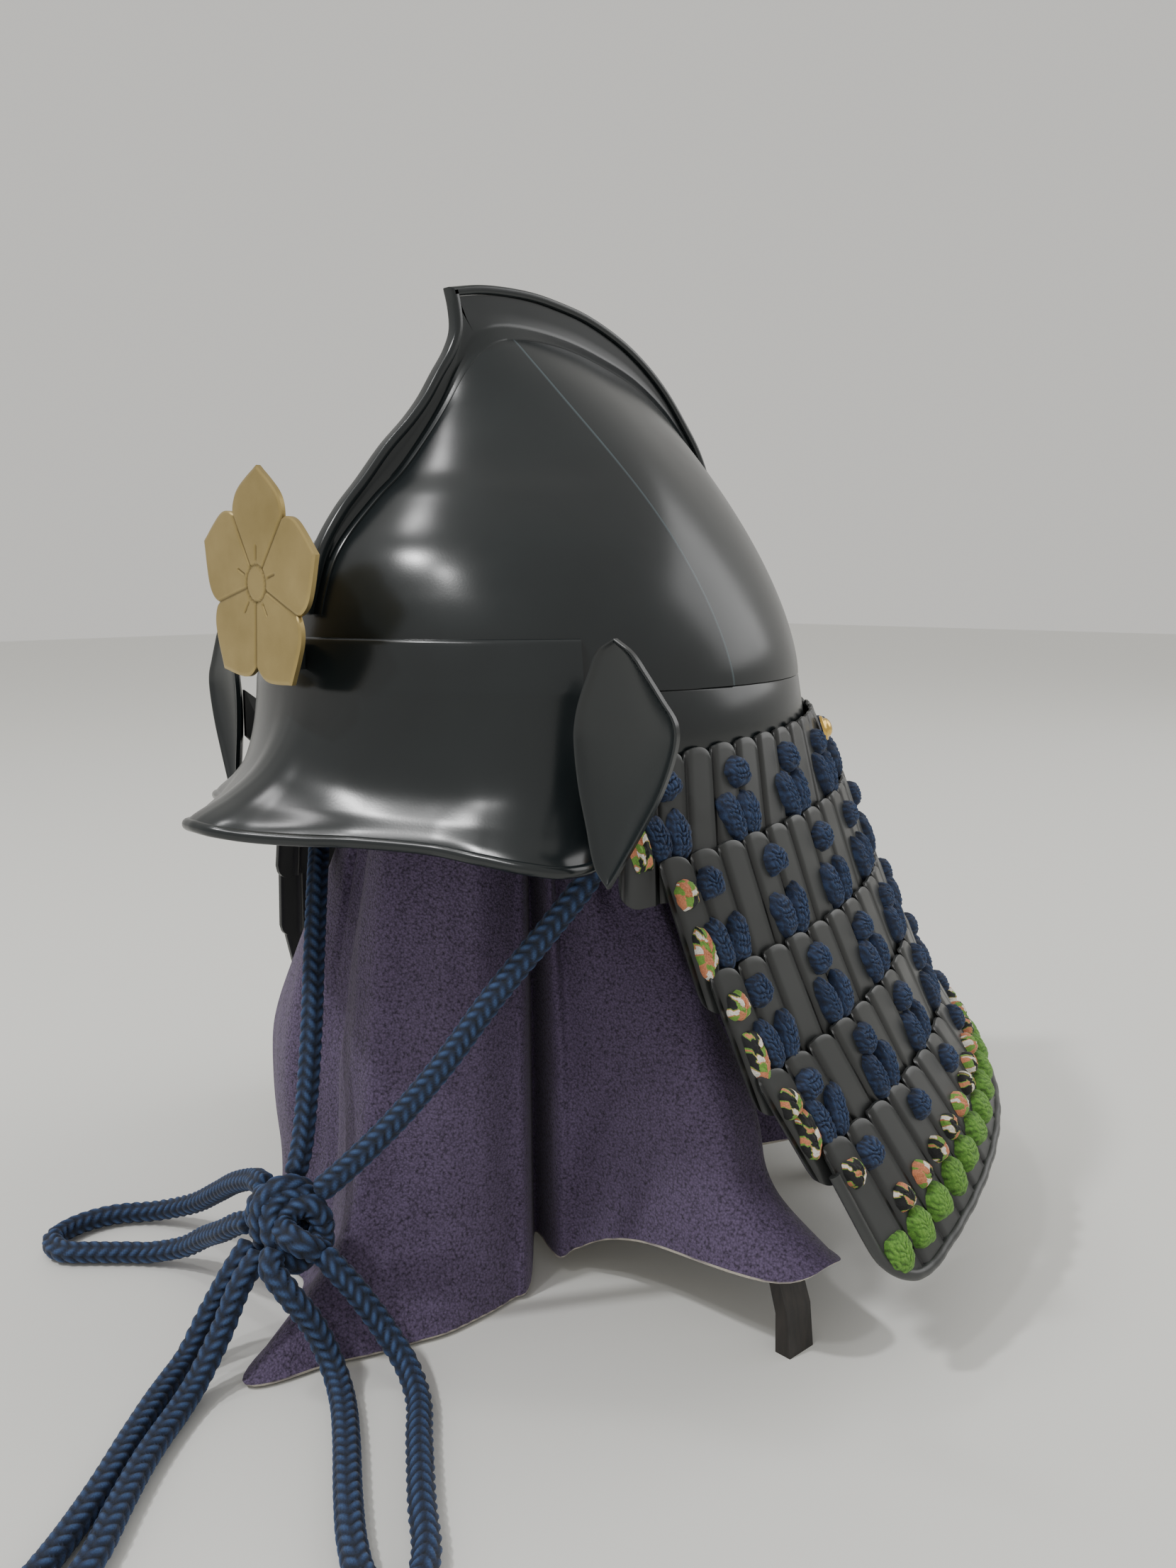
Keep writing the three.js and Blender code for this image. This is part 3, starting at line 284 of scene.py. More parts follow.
def carried_side(line: np.ndarray, start: Sequence[float]) -> np.ndarray:
    """Sideways vectors along a line that turn as little as they can, from a starting one.

    Args:
        line: Points of the path.
        start: A vector roughly square to its start.

    Returns:
        One vector of length one for each point.
    """
    run = unit(np.gradient(line, axis=0))
    sides = np.empty_like(line)
    side = np.asarray(start, float)
    for index, along in enumerate(run):
        side = side - along * np.dot(side, along)
        side = side / np.linalg.norm(side)
        sides[index] = side
    return sides


def capped_tube(draft: MeshDraft, rings: np.ndarray, uv: Optional[np.ndarray] = None,
                tone: Optional[np.ndarray] = None) -> None:
    """Adds a tube of closed rings with its two ends drawn in to a point.

    Args:
        draft: The mesh that takes the tube.
        rings: One closed ring a row.
        uv: Coordinates of the rings' points.
        tone: Numbers for the finish, a row a ring.
    """
    rows, columns = rings.shape[:2]
    ends = [np.repeat(rings[at].mean(axis=0)[None], columns, axis=0)[None] for at in (0, -1)]
    full = np.concatenate([ends[0], rings, ends[1]])
    if uv is not None:
        uv = np.concatenate([uv[:1], uv, uv[-1:]])
    if tone is not None:
        tone = np.concatenate([tone[:1], tone, tone[-1:]])
    draft.grid(full, close_columns=True, uv=uv, tone=tone)


def add_node(tree: bpy.types.NodeTree, kind: str, links: Optional[dict] = None,
             **settings: object) -> bpy.types.Node:
    """Adds a shader node.

    Args:
        tree: The material's tree.
        kind: The node's type name, such as "ShaderNodeTexNoise".
        links: Socket name or number to the output that feeds it, or to its fixed value.
        **settings: The node's own properties.

    Returns:
        The node.
    """
    node = tree.nodes.new(kind)
    for key, value in settings.items():
        setattr(node, key, value)
    for socket, value in (links or {}).items():
        if isinstance(value, bpy.types.NodeSocket):
            tree.links.new(value, node.inputs[socket])
        else:
            node.inputs[socket].default_value = value
    return node


def ramp(tree: bpy.types.NodeTree, value: bpy.types.NodeSocket, stops: Sequence[tuple[float, str]],
         interpolation: str = "LINEAR") -> bpy.types.NodeSocket:
    """Adds a colour ramp with hex stops and returns its colour.

    Args:
        tree: The material's tree.
        value: The output that it reads.
        stops: Places and hex colours, from low to high.
        interpolation: How it fills between stops.

    Returns:
        The ramp's colour output.
    """
    node = add_node(tree, "ShaderNodeValToRGB", {"Fac": value})
    node.color_ramp.interpolation = interpolation
    while len(node.color_ramp.elements) < len(stops):
        node.color_ramp.elements.new(0.5)
    for element, (place, colour) in zip(node.color_ramp.elements, stops):
        element.position = place
        element.color = linear(colour)
    return node.outputs["Color"]


def start_material(name: str) -> tuple[bpy.types.Material, bpy.types.NodeTree, bpy.types.Node]:
    """An empty material with a Principled shader wired to its output.

    Args:
        name: The material's name.

    Returns:
        The material, its tree and the shader.
    """
    material = bpy.data.materials.new(name)
    material.use_nodes = True
    tree = material.node_tree
    tree.nodes.clear()
    shader = add_node(tree, "ShaderNodeBsdfPrincipled")
    add_node(tree, "ShaderNodeOutputMaterial", {"Surface": shader.outputs["BSDF"]})
    return material, tree, shader


@dataclass(frozen=True)
class SatinLacquer:
    """Urushi lacquer sprayed satin over iron: near black, soft wide highlights, a faint orange peel."""

    name: str
    dark: str
    light: str
    roughness: float
    peel_mm: float = 0.9
    peel_depth: float = 0.02

    def make(self) -> bpy.types.Material:
        """Builds the material."""
        material, tree, shader = start_material(self.name)
        place = add_node(tree, "ShaderNodeTexCoord").outputs["Object"]
        cloud = add_node(tree, "ShaderNodeTexNoise", {"Vector": place, "Scale": 14.0, "Detail": 4.0})
        coat = ramp(tree, cloud.outputs["Fac"], [(0.35, self.dark), (0.7, self.light)])
        # Painted light: the tone darkens the colour in the lames' grooves as painted shade and, below zero,
        # brightens it along the bowl's seam as a painted highlight.
        hollow = add_node(tree, "ShaderNodeAttribute", attribute_name="tone").outputs["Fac"]
        shade = add_node(tree, "ShaderNodeMath", {0: hollow, 1: -0.86, 2: 1.0}, operation="MULTIPLY_ADD")
        shaded = add_node(tree, "ShaderNodeVectorMath", {
            0: coat, 1: shade.outputs["Value"]}, operation="MULTIPLY")
        tree.links.new(shaded.outputs["Vector"], shader.inputs["Base Color"])
        haze = add_node(tree, "ShaderNodeTexNoise", {"Vector": place, "Scale": 60.0, "Detail": 3.0})
        spread = add_node(tree, "ShaderNodeMapRange", {
            "Value": haze.outputs["Fac"], "To Min": self.roughness - 0.04, "To Max": self.roughness + 0.05})
        tree.links.new(spread.outputs["Result"], shader.inputs["Roughness"])
        peel = add_node(tree, "ShaderNodeTexNoise", {
            "Vector": place, "Scale": 1 / (self.peel_mm * MM), "Detail": 2.0})
        bump = add_node(tree, "ShaderNodeBump", {
            "Height": peel.outputs["Fac"], "Strength": self.peel_depth, "Distance": 0.0004})
        tree.links.new(bump.outputs["Normal"], shader.inputs["Normal"])
        return material


@dataclass(frozen=True)
class AntiqueGilding:
    """Gold leaf on copper, rubbed satin: a warm dull metal with a fine scratched grain."""

    name: str
    dark: str
    light: str
    roughness: float
    grain_mm: float = 0.35

    def make(self) -> bpy.types.Material:
        """Builds the material."""
        material, tree, shader = start_material(self.name)
        shader.inputs["Metallic"].default_value = 1.0
        place = add_node(tree, "ShaderNodeTexCoord").outputs["Object"]
        cloud = add_node(tree, "ShaderNodeTexNoise", {"Vector": place, "Scale": 45.0, "Detail": 5.0})
        leaf = ramp(tree, cloud.outputs["Fac"], [(0.3, self.dark), (0.72, self.light)])
        engraved = add_node(tree, "ShaderNodeAttribute", attribute_name="tone").outputs["Fac"]
        shade = add_node(tree, "ShaderNodeMath", {0: engraved, 1: -0.6, 2: 1.0}, operation="MULTIPLY_ADD")
        shaded = add_node(tree, "ShaderNodeVectorMath", {
            0: leaf, 1: shade.outputs["Value"]}, operation="MULTIPLY")
        tree.links.new(shaded.outputs["Vector"], shader.inputs["Base Color"])
        stretch = add_node(tree, "ShaderNodeMapping", {"Vector": place, "Scale": (1.0, 1.0, 9.0)})
        grain = add_node(tree, "ShaderNodeTexNoise", {
            "Vector": stretch.outputs["Vector"], "Scale": 0.2 / (self.grain_mm * MM), "Detail": 3.0})
        spread = add_node(tree, "ShaderNodeMapRange", {
            "Value": grain.outputs["Fac"], "To Min": self.roughness - 0.06, "To Max": self.roughness + 0.08})
        tree.links.new(spread.outputs["Result"], shader.inputs["Roughness"])
        bump = add_node(tree, "ShaderNodeBump", {
            "Height": grain.outputs["Fac"], "Strength": 0.06, "Distance": 0.0002})
        tree.links.new(bump.outputs["Normal"], shader.inputs["Normal"])
        return material


@dataclass(frozen=True)
class StainedWood:
    """Dark stained hardwood: a low sheen over long grain."""

    name: str
    dark: str
    light: str
    grain_mm: float = 2.5

    def make(self) -> bpy.types.Material:
        """Builds the material."""
        material, tree, shader = start_material(self.name)
        shader.inputs["Roughness"].default_value = 0.48
        place = add_node(tree, "ShaderNodeTexCoord").outputs["Object"]
        stretch = add_node(tree, "ShaderNodeMapping", {"Vector": place, "Scale": (1.0, 1.0, 0.15)})
        grain = add_node(tree, "ShaderNodeTexNoise", {
            "Vector": stretch.outputs["Vector"], "Scale": 1 / (self.grain_mm * MM), "Detail": 6.0,
            "Distortion": 0.4})
        tree.links.new(ramp(tree, grain.outputs["Fac"], [(0.35, self.dark), (0.7, self.light)]),
                       shader.inputs["Base Color"])
        bump = add_node(tree, "ShaderNodeBump", {
            "Height": grain.outputs["Fac"], "Strength": 0.15, "Distance": 0.0005})
        tree.links.new(bump.outputs["Normal"], shader.inputs["Normal"])
        return material


@dataclass(frozen=True)
class SilkCrepe:
    """Chirimen silk crepe: matte, with a pebbled grain about a millimetre across that catches light."""

    name: str
    dark: str
    light: str
    lining: str
    grain_mm: float = 0.95

    def make(self) -> bpy.types.Material:
        """Builds the material."""
        material, tree, shader = start_material(self.name)
        shader.inputs["Roughness"].default_value = 0.82
        shader.inputs["Sheen Weight"].default_value = 0.1
        shader.inputs["Sheen Roughness"].default_value = 0.5
        place = add_node(tree, "ShaderNodeTexCoord").outputs["Object"]
        pebble = add_node(tree, "ShaderNodeTexVoronoi", {
            "Vector": place, "Scale": 1 / (self.grain_mm * MM), "Randomness": 1.0}, feature="SMOOTH_F1")
        thread = add_node(tree, "ShaderNodeTexNoise", {
            "Vector": place, "Scale": 1.6 / (self.grain_mm * MM), "Detail": 3.0})
        mixed = add_node(tree, "ShaderNodeMath", {
            0: pebble.outputs["Distance"], 1: thread.outputs["Fac"]}, operation="MULTIPLY")
        lining = add_node(tree, "ShaderNodeAttribute", attribute_name="tone").outputs["Fac"]
        # Painted light: the pebbles' crowns are coloured lighter as painted highlights and their edges darker
        # as painted shade.
        face = ramp(tree, mixed.outputs["Value"], [(0.05, self.light), (0.42, self.dark)])
        sides = add_node(tree, "ShaderNodeMix", {"Factor": lining, 6: face}, data_type="RGBA")
        sides.inputs[7].default_value = linear(self.lining)
        tree.links.new(sides.outputs[2], shader.inputs["Base Color"])
        bump = add_node(tree, "ShaderNodeBump", {
            "Height": mixed.outputs["Value"], "Strength": 0.9, "Distance": 0.0009}, invert=True)
        tree.links.new(bump.outputs["Normal"], shader.inputs["Normal"])
        return material


@dataclass(frozen=True)
class BraidedSilk:
    """Braided silk cord or lace: matte, its colour picked by the tone that the mesh carries: the own colours
    of the many-coloured lace, and on the navy and green silk painted shade in the braid's hollows with
    lighter crowns.
    """

    name: str
    yarn_and_painted_shade_stops: tuple[tuple[float, str], ...]
    steps: bool = False
    yarn_mm: float = 0.5

    def make(self) -> bpy.types.Material:
        """Builds the material."""
        material, tree, shader = start_material(self.name)
        shader.inputs["Roughness"].default_value = 0.78
        shader.inputs["Sheen Weight"].default_value = 0.08
        shader.inputs["Sheen Roughness"].default_value = 0.45
        tone = add_node(tree, "ShaderNodeAttribute", attribute_name="tone").outputs["Fac"]
        colour = ramp(tree, tone, self.yarn_and_painted_shade_stops, "CONSTANT" if self.steps else "LINEAR")
        place = add_node(tree, "ShaderNodeTexCoord").outputs["Object"]
        yarn = add_node(tree, "ShaderNodeTexNoise", {
            "Vector": place, "Scale": 1 / (self.yarn_mm * MM), "Detail": 3.0})
        shade = add_node(tree, "ShaderNodeMapRange", {
            "Value": yarn.outputs["Fac"], "From Min": 0.3, "From Max": 0.7, "To Min": 0.72, "To Max": 1.2})
        tinted = add_node(tree, "ShaderNodeVectorMath", {
            0: colour, 1: shade.outputs["Result"]}, operation="MULTIPLY")
        tree.links.new(tinted.outputs["Vector"], shader.inputs["Base Color"])
        bump = add_node(tree, "ShaderNodeBump", {
            "Height": yarn.outputs["Fac"], "Strength": 0.5, "Distance": 0.0004})
        tree.links.new(bump.outputs["Normal"], shader.inputs["Normal"])
        return material


@dataclass
class Palette:
    """Every finish of the object, made once."""

    # Wide soft lamp marks on blue-black
    shell: bpy.types.Material = field(default_factory=lambda: SatinLacquer(
        "satin_black_urushi", "#14191b", "#1a2022", 0.24).make())
    # Greyer and duller, so the ribs read against the bowl
    lames: bpy.types.Material = field(default_factory=lambda: SatinLacquer(
        "satin_grey_urushi", "#2d2f2f", "#353737", 0.36).make())
    # A warm dull gold with darker engraved lines
    crest: bpy.types.Material = field(default_factory=lambda: AntiqueGilding(
        "antique_gilt_copper", "#a3905f", "#b8a472", 0.46).make())
    # A small bright point on the dark lame
    boss: bpy.types.Material = field(default_factory=lambda: AntiqueGilding(
        "polished_brass", "#c09a45", "#dcb968", 0.2).make())
    # Nearly black legs with a low sheen
    stand: bpy.types.Material = field(default_factory=lambda: StainedWood(
        "dark_stained_wood", "#171412", "#2c2622").make())
    # A pebbled purple with painted highlights on the grain's crowns and painted shade between, and a pale
    # lining
    cloth: bpy.types.Material = field(default_factory=lambda: SilkCrepe(
        "purple_silk_crepe", "#2b2235", "#645575", "#b9b2a6").make())
    # Matte navy silk, with painted shade in the hollows of the braid and lighter crowns
    cord: bpy.types.Material = field(default_factory=lambda: BraidedSilk(
        "navy_braided_silk", ((0.0, "#0a111c"), (0.45, "#1b2c4a"), (1.0, "#36527d"))).make())
    # The same silk, a little duller on the lames, with the same painted shade in the hollows
    lace: bpy.types.Material = field(default_factory=lambda: BraidedSilk(
        "navy_laced_silk", ((0.0, "#0a111e"), (0.45, "#182744"), (1.0, "#30486f"))).make())
    # Fresh green tufts along the foot, painted darker in the braid's hollows
    green: bpy.types.Material = field(default_factory=lambda: BraidedSilk(
        "green_laced_silk", ((0.0, "#2c4714"), (0.4, "#4f7f28"), (1.0, "#74a342"))).make())
    # Small blocks of black, green, orange and white
    woven: bpy.types.Material = field(default_factory=lambda: BraidedSilk(
        "many_coloured_laced_silk",
        ((0.0, "#17181a"), (0.25, "#6f9a3f"), (0.5, "#c8805c"), (0.75, "#e4e0d4")), steps=True).make())


@dataclass
class Bowl:
    """The bowl: it hangs from its crown line, in level ovals in front and sections across behind."""

    width: float = 230.0
    length: float = 230.0
    centre_y: float = -18.0
    height: float = 143.0
    rim_z: float = 249.0
    power: float = 1.55
    wall: float = 3.0
    pinch: float = 0.15
    oval_span: tuple[float, float] = (-55.0, 15.0)
    seam_rim_y: float = -17.0
    seam_crown_y: float = -32.0
    seam_step: float = 0.5
    seam_fade: float = 14.0
    stations: int = 190
    falls: int = 78
    fall_spacing: float = 1.8
    crown: np.ndarray = field(default_factory=lambda: np.array([
        (0.0, 0.0), (0.011, 0.105), (0.03, 0.24), (0.061, 0.357), (0.139, 0.497), (0.191, 0.573),
        (0.241, 0.669), (0.283, 0.762), (0.328, 0.88), (0.378, 0.969), (0.435, 0.998), (0.561, 0.991),
        (0.665, 0.954), (0.77, 0.891), (0.87, 0.782), (0.935, 0.652), (0.98, 0.41), (1.0, 0.0)]))

    def __post_init__(self) -> None:
        """Runs the crown line through its points once."""
        self.line = smooth_line(self.middle_points(self.crown), 40)

    def middle_points(self, rows: np.ndarray) -> np.ndarray:
        """Points of the middle plane, from shares of the bowl's length and height.

        Args:
            rows: Shares of the length and the height, a row a point.

        Returns:
            The points in millimetres.
        """
        rows = np.asarray(rows, float)
        y = self.centre_y + (rows[:, 0] - 0.5) * self.length
        return np.stack([np.zeros(len(rows)), y, self.rim_z + rows[:, 1] * self.height], axis=1)

    def crown_z(self, y: np.ndarray) -> np.ndarray:
        """Crown height at a place along the helmet."""
        return np.interp(y, self.line[:, 1], self.line[:, 2])

    def half_width(self, y: np.ndarray) -> np.ndarray:
        """Half width of the oval rim at a place along the helmet."""
        share = 1 - ((y - self.centre_y) / (self.length / 2)) ** 2
        return self.width / 2 * np.sqrt(np.clip(share, 0, None))

    def half_at(self, y: np.ndarray, z: np.ndarray) -> np.ndarray:
        """Half width of the bowl at a place along it and a height, or minus one over its crown.

        Behind, a section across narrows as width (1 - (rise / crown rise)^power). In front, a level
        oval between the crown line's front and back is width (1 - share^power) (1 - place^2)^(0.5 + pinch
        share), where share is the height's share of the bowl's. The two blend over oval_span.

        Args:
            y: Places along the helmet.
            z: Heights.

        Returns:
            The half widths.
        """
        crown = self.crown_z(y)
        rise = np.maximum(z - self.rim_z, 0)
        share = np.clip(rise / self.height, 0, 1)
        under = np.clip(rise / np.maximum(crown - self.rim_z, 1e-6), 0, 1)
        section = self.half_width(y) * (1 - under ** self.power)
        top = int(np.argmax(self.line[:, 2]))
        front = np.interp(z, self.line[:top + 1, 2], self.line[:top + 1, 1])
        back = np.interp(z, self.line[top:, 2][::-1], self.line[top:, 1][::-1])
        place = (2 * y - front - back) / np.maximum(back - front, 1e-6)
        round_share = np.clip(1 - place ** 2, 0, 1) ** (0.5 + self.pinch * share)
        oval = self.width / 2 * (1 - share ** self.power) * round_share
        blend = np.clip((self.oval_span[1] - y) / (self.oval_span[1] - self.oval_span[0]), 0, 1)
        blend = blend * blend * (3 - 2 * blend)
        return np.where(crown > z, section + (oval - section) * blend, -1.0)

    def radius(self, turn: np.ndarray, z: np.ndarray) -> np.ndarray:
        """Distance from the bowl's axis to its outer side, by halving a span until it closes.

        Args:
            turn: Directions from the front, in radians.
            z: Heights in millimetres.

        Returns:
            The distances.
        """
        turn, z = np.broadcast_arrays(np.asarray(turn, float), np.maximum(z, self.rim_z))
        low, high = np.zeros(turn.shape), np.full(turn.shape, self.length)
        for _ in range(36):
            middle = (low + high) / 2
            x, y = np.abs(middle * np.sin(turn)), self.centre_y - middle * np.cos(turn)
            inside = x <= self.half_at(y, z)
            low, high = np.where(inside, middle, low), np.where(inside, high, middle)
        return high

    def drop_at(self, x: np.ndarray, y: np.ndarray) -> np.ndarray:
        """How far the bowl lies under its crown line, a small way to the side, by halving a span.

        Args:
            x: Distances to the side.
            y: Places along the helmet.

        Returns:
            The drops in millimetres.
        """
        low, high = np.full(y.shape, self.rim_z), self.crown_z(y)
        for _ in range(30):
            middle = (low + high) / 2
            inside = self.half_at(y, middle) >= np.abs(x)
            low, high = np.where(inside, middle, low), np.where(inside, high, middle)
        return self.crown_z(y) - low

    def surface(self, stations: np.ndarray, falls: np.ndarray) -> np.ndarray:
        """Sections at stations: z falls evenly from the crown to the rim, x is the half width there.

        Args:
            stations: Places along the helmet, one a row.
            falls: Signed shares of the way down, one a column.

        Returns:
            The grid. The stations lean with the side seam near it.
        """
        lean = self.seam_rim_y - self.seam_crown_y
        fall = np.abs(falls)[None, :]
        y0 = stations[:, None]
        y = y0 + lean * fall * bump_at(y0, self.seam_crown_y, 62.0)
        z = self.rim_z + (self.crown_z(y) - self.rim_z) * (1 - fall)
        x = np.sign(falls)[None, :] * np.maximum(self.half_at(y, z), 0)
        return np.stack([x, y, z], axis=-1)

    def make(self, finish: bpy.types.Material) -> bpy.types.Object:
        """Builds the bowl: its front plates lap over the back ones in a fine step down each side.

        Args:
            finish: The shell's material.

        Returns:
            The bowl.
        """
        y = even_points(self.line, np.linspace(0, 1, self.stations))[:, 1]
        y[0], y[-1] = self.centre_y - self.length / 2, self.centre_y + self.length / 2
        seam = self.seam_crown_y + np.array([-1.2, -0.5, -0.12, 0.0, 0.2, 0.4, 0.52, 1.2])
        y = np.sort(np.concatenate([y[np.abs(y - self.seam_crown_y) > 1.6], seam]))
        side = np.linspace(0, 1, self.falls) ** self.fall_spacing
        falls = np.concatenate([-side[::-1], side[1:]])
        outer = self.surface(y, falls)
        behind = y - self.seam_crown_y
        fade = np.where(behind < 0, np.exp(behind / self.seam_fade), np.clip(1 - behind / 0.4, 0, 1))
        step = self.seam_step * fade
        crown_fade = np.clip(np.abs(falls) / 0.06, 0, 1)
        outer = outer - grid_normals(outer) * self.inwards(outer) * (step[:, None] * crown_fade)[..., None]
        middle = np.array([0.0, self.centre_y, self.rim_z])
        shrink = 1 - self.wall / np.array([self.width / 2, self.length / 2, self.height / 1.5])
        inner = middle + (self.surface(y, falls) - middle) * shrink
        # Painted highlight: the seam's step gets a tone of minus six, which brightens the lacquer's colour
        # there about sixfold as a light line.
        seam_painted_highlight = np.where((behind > -0.6) & (behind < 0.45), -6.0, 0.0)[:, None] * crown_fade
        draft = MeshDraft("helmet_bowl")
        draft.grid(outer, tone=seam_painted_highlight)
        draft.grid(inner)
        draft.grid(np.stack([outer[:, 0], inner[:, 0]]))
        draft.grid(np.stack([outer[:, -1], inner[:, -1]]))
        nodes = [f"bowl_{end}_{side}" for end in ("front", "back") for side in ("left", "right")]
        return draft.build(finish, Slot.SHELL, nodes)

    def inwards(self, grid: np.ndarray) -> np.ndarray:
        """Minus or plus one, so that a normal times it points into the bowl."""
        towards = np.array([0.0, self.centre_y, self.rim_z + 40]) - grid
        return np.where(np.sum(grid_normals(grid) * towards, axis=-1, keepdims=True) > 0, 1.0, -1.0)


@dataclass
class Ridge:
    """The crown ridge: a thin web with a flange along the bowl, under a rounded bead."""

    bowl: Bowl
    bead_width: float = 6.4
    bead_depth: float = 3.6
    web: float = 3.0
    flange: float = 5.8
    front: np.ndarray = field(default_factory=lambda: np.array([
        (-0.003, 0.197), (0.013, 0.287), (0.031, 0.37), (0.072, 0.47), (0.117, 0.551), (0.167, 0.645),
        (0.217, 0.724), (0.248, 0.782), (0.279, 0.856), (0.306, 0.92), (0.32, 0.976), (0.318, 1.035),
        (0.31, 1.086)]))
    back: np.ndarray = field(default_factory=lambda: np.array([
        (0.31, 1.086), (0.376, 1.106), (0.44, 1.113), (0.507, 1.111), (0.57, 1.098), (0.63, 1.079),
        (0.692, 1.046), (0.75, 1.004), (0.809, 0.945), (0.857, 0.882), (0.906, 0.799), (0.96, 0.69),
        (1.003, 0.53), (1.018, 0.36)]))

    def edge(self, front_count: int = 90, back_count: int = 130) -> np.ndarray:
        """Outer edge of the ridge from the brow over its hooked tip to the nape.

        Args:
            front_count: Points in front of the tip.
            back_count: Points behind it.

        Returns:
            The points of the middle plane.
        """
        lines = [smooth_line(self.bowl.middle_points(rows), 20) for rows in (self.front, self.back)]
        front = even_points(lines[0], np.linspace(0, 1, front_count))
        back = even_points(lines[1], np.linspace(0, 1, back_count))
        return np.vstack([front, back[1:]])

    @staticmethod
    def inset(line: np.ndarray, distance: float) -> np.ndarray:
        """A line of the middle plane moved towards the bowl by a distance, mitred at the tip.

        Args:
            line: The line's points.
            distance: How far it moves.

        Returns:
            The moved points.
        """
        into = unit(np.vstack([line[1] - line[0], np.diff(line, axis=0)]))
        out = unit(np.vstack([np.diff(line, axis=0), line[-1] - line[-2]]))
        both = unit(into + out)
        normal = np.stack([np.zeros(len(line)), both[:, 2], -both[:, 1]], axis=1)
        square = np.stack([np.zeros(len(line)), into[:, 2], -into[:, 1]], axis=1)
        stretch = distance / np.maximum(np.sum(normal * square, axis=1, keepdims=True), 0.5)
        return line + normal * stretch

    def make(self, finish: bpy.types.Material) -> list[bpy.types.Object]:
        """Builds the bead and the web.

        Args:
            finish: The shell's material.

        Returns:
            Both pieces.
        """
        edge = self.edge()
        half, depth, corner = self.bead_width / 2, self.bead_depth, 1.5
        turns = np.linspace(0, np.pi / 2, 6)
        round_x, round_d = half - corner + corner * np.sin(turns), corner - corner * np.cos(turns)
        right = [(x, d) for x, d in zip(round_x, round_d)] + [(half, depth - 0.5), (half - 0.5, depth)]
        section = right + [(-x, d) for x, d in right[::-1]]
        columns = [self.inset(edge, d) + np.array([x, 0, 0]) for x, d in section]
        bead = MeshDraft("crown_ridge_rim")
        capped_tube(bead, np.stack(columns, axis=1))
        pieces = [bead.build(finish, Slot.SHELL, ["ridge_rim"], sharp=50)]

        top = self.inset(edge, depth + 0.3)
        tip = 89
        line = self.bowl.line
        start = int(np.argmax(line[:, 2] > top[0, 2] + 1))
        behind = (line[:, 1] > 0) & (line[:, 2] < top[-1, 2])
        end = int(np.argmax(behind)) if behind.any() else len(line) - 1
        split = int(np.argmin(np.abs(line[:, 1] - (top[tip, 1] + 8))))
        foot = np.vstack([
            even_points(line[start:split + 1], np.linspace(0, 1, tip + 1)),
            even_points(line[split:end + 1], np.linspace(0, 1, len(top) - tip))[1:]])
        rise = unit(top - foot)
        half_web = self.web / 2
        low = [(self.flange, 0.1), (self.flange, 0.75), (self.flange - 0.5, 1.0), (half_web + 0.9, 1.1),
               (half_web + 0.25, 1.7), (half_web, 2.6)]
        rows = []
        for x, lift in low:
            drop = self.bowl.drop_at(np.full(len(foot), x), foot[:, 1])
            follow = np.clip((x - half_web) / 2, 0, 1)
            height = np.minimum(lift, np.linalg.norm(top - foot, axis=1) * 0.6)
            rows.append(foot + rise * height[:, None] - np.stack([0 * drop, 0 * drop, drop * follow], axis=1)
                        + np.array([x, 0, 0]))
        for share in (0.4, 0.7, 1.0):
            start_row = rows[5] - np.array([half_web, 0, 0])
            rows.append(start_row + (top - start_row) * share + np.array([half_web, 0, 0]))
        right_side = np.stack(rows, axis=1)
        left_side = right_side[:, ::-1] * np.array([-1, 1, 1])
        web = MeshDraft("crown_ridge_web")
        capped_tube(web, np.concatenate([right_side, left_side], axis=1))
        pieces.append(web.build(finish, Slot.SHELL, ["ridge_web"]))
        return pieces


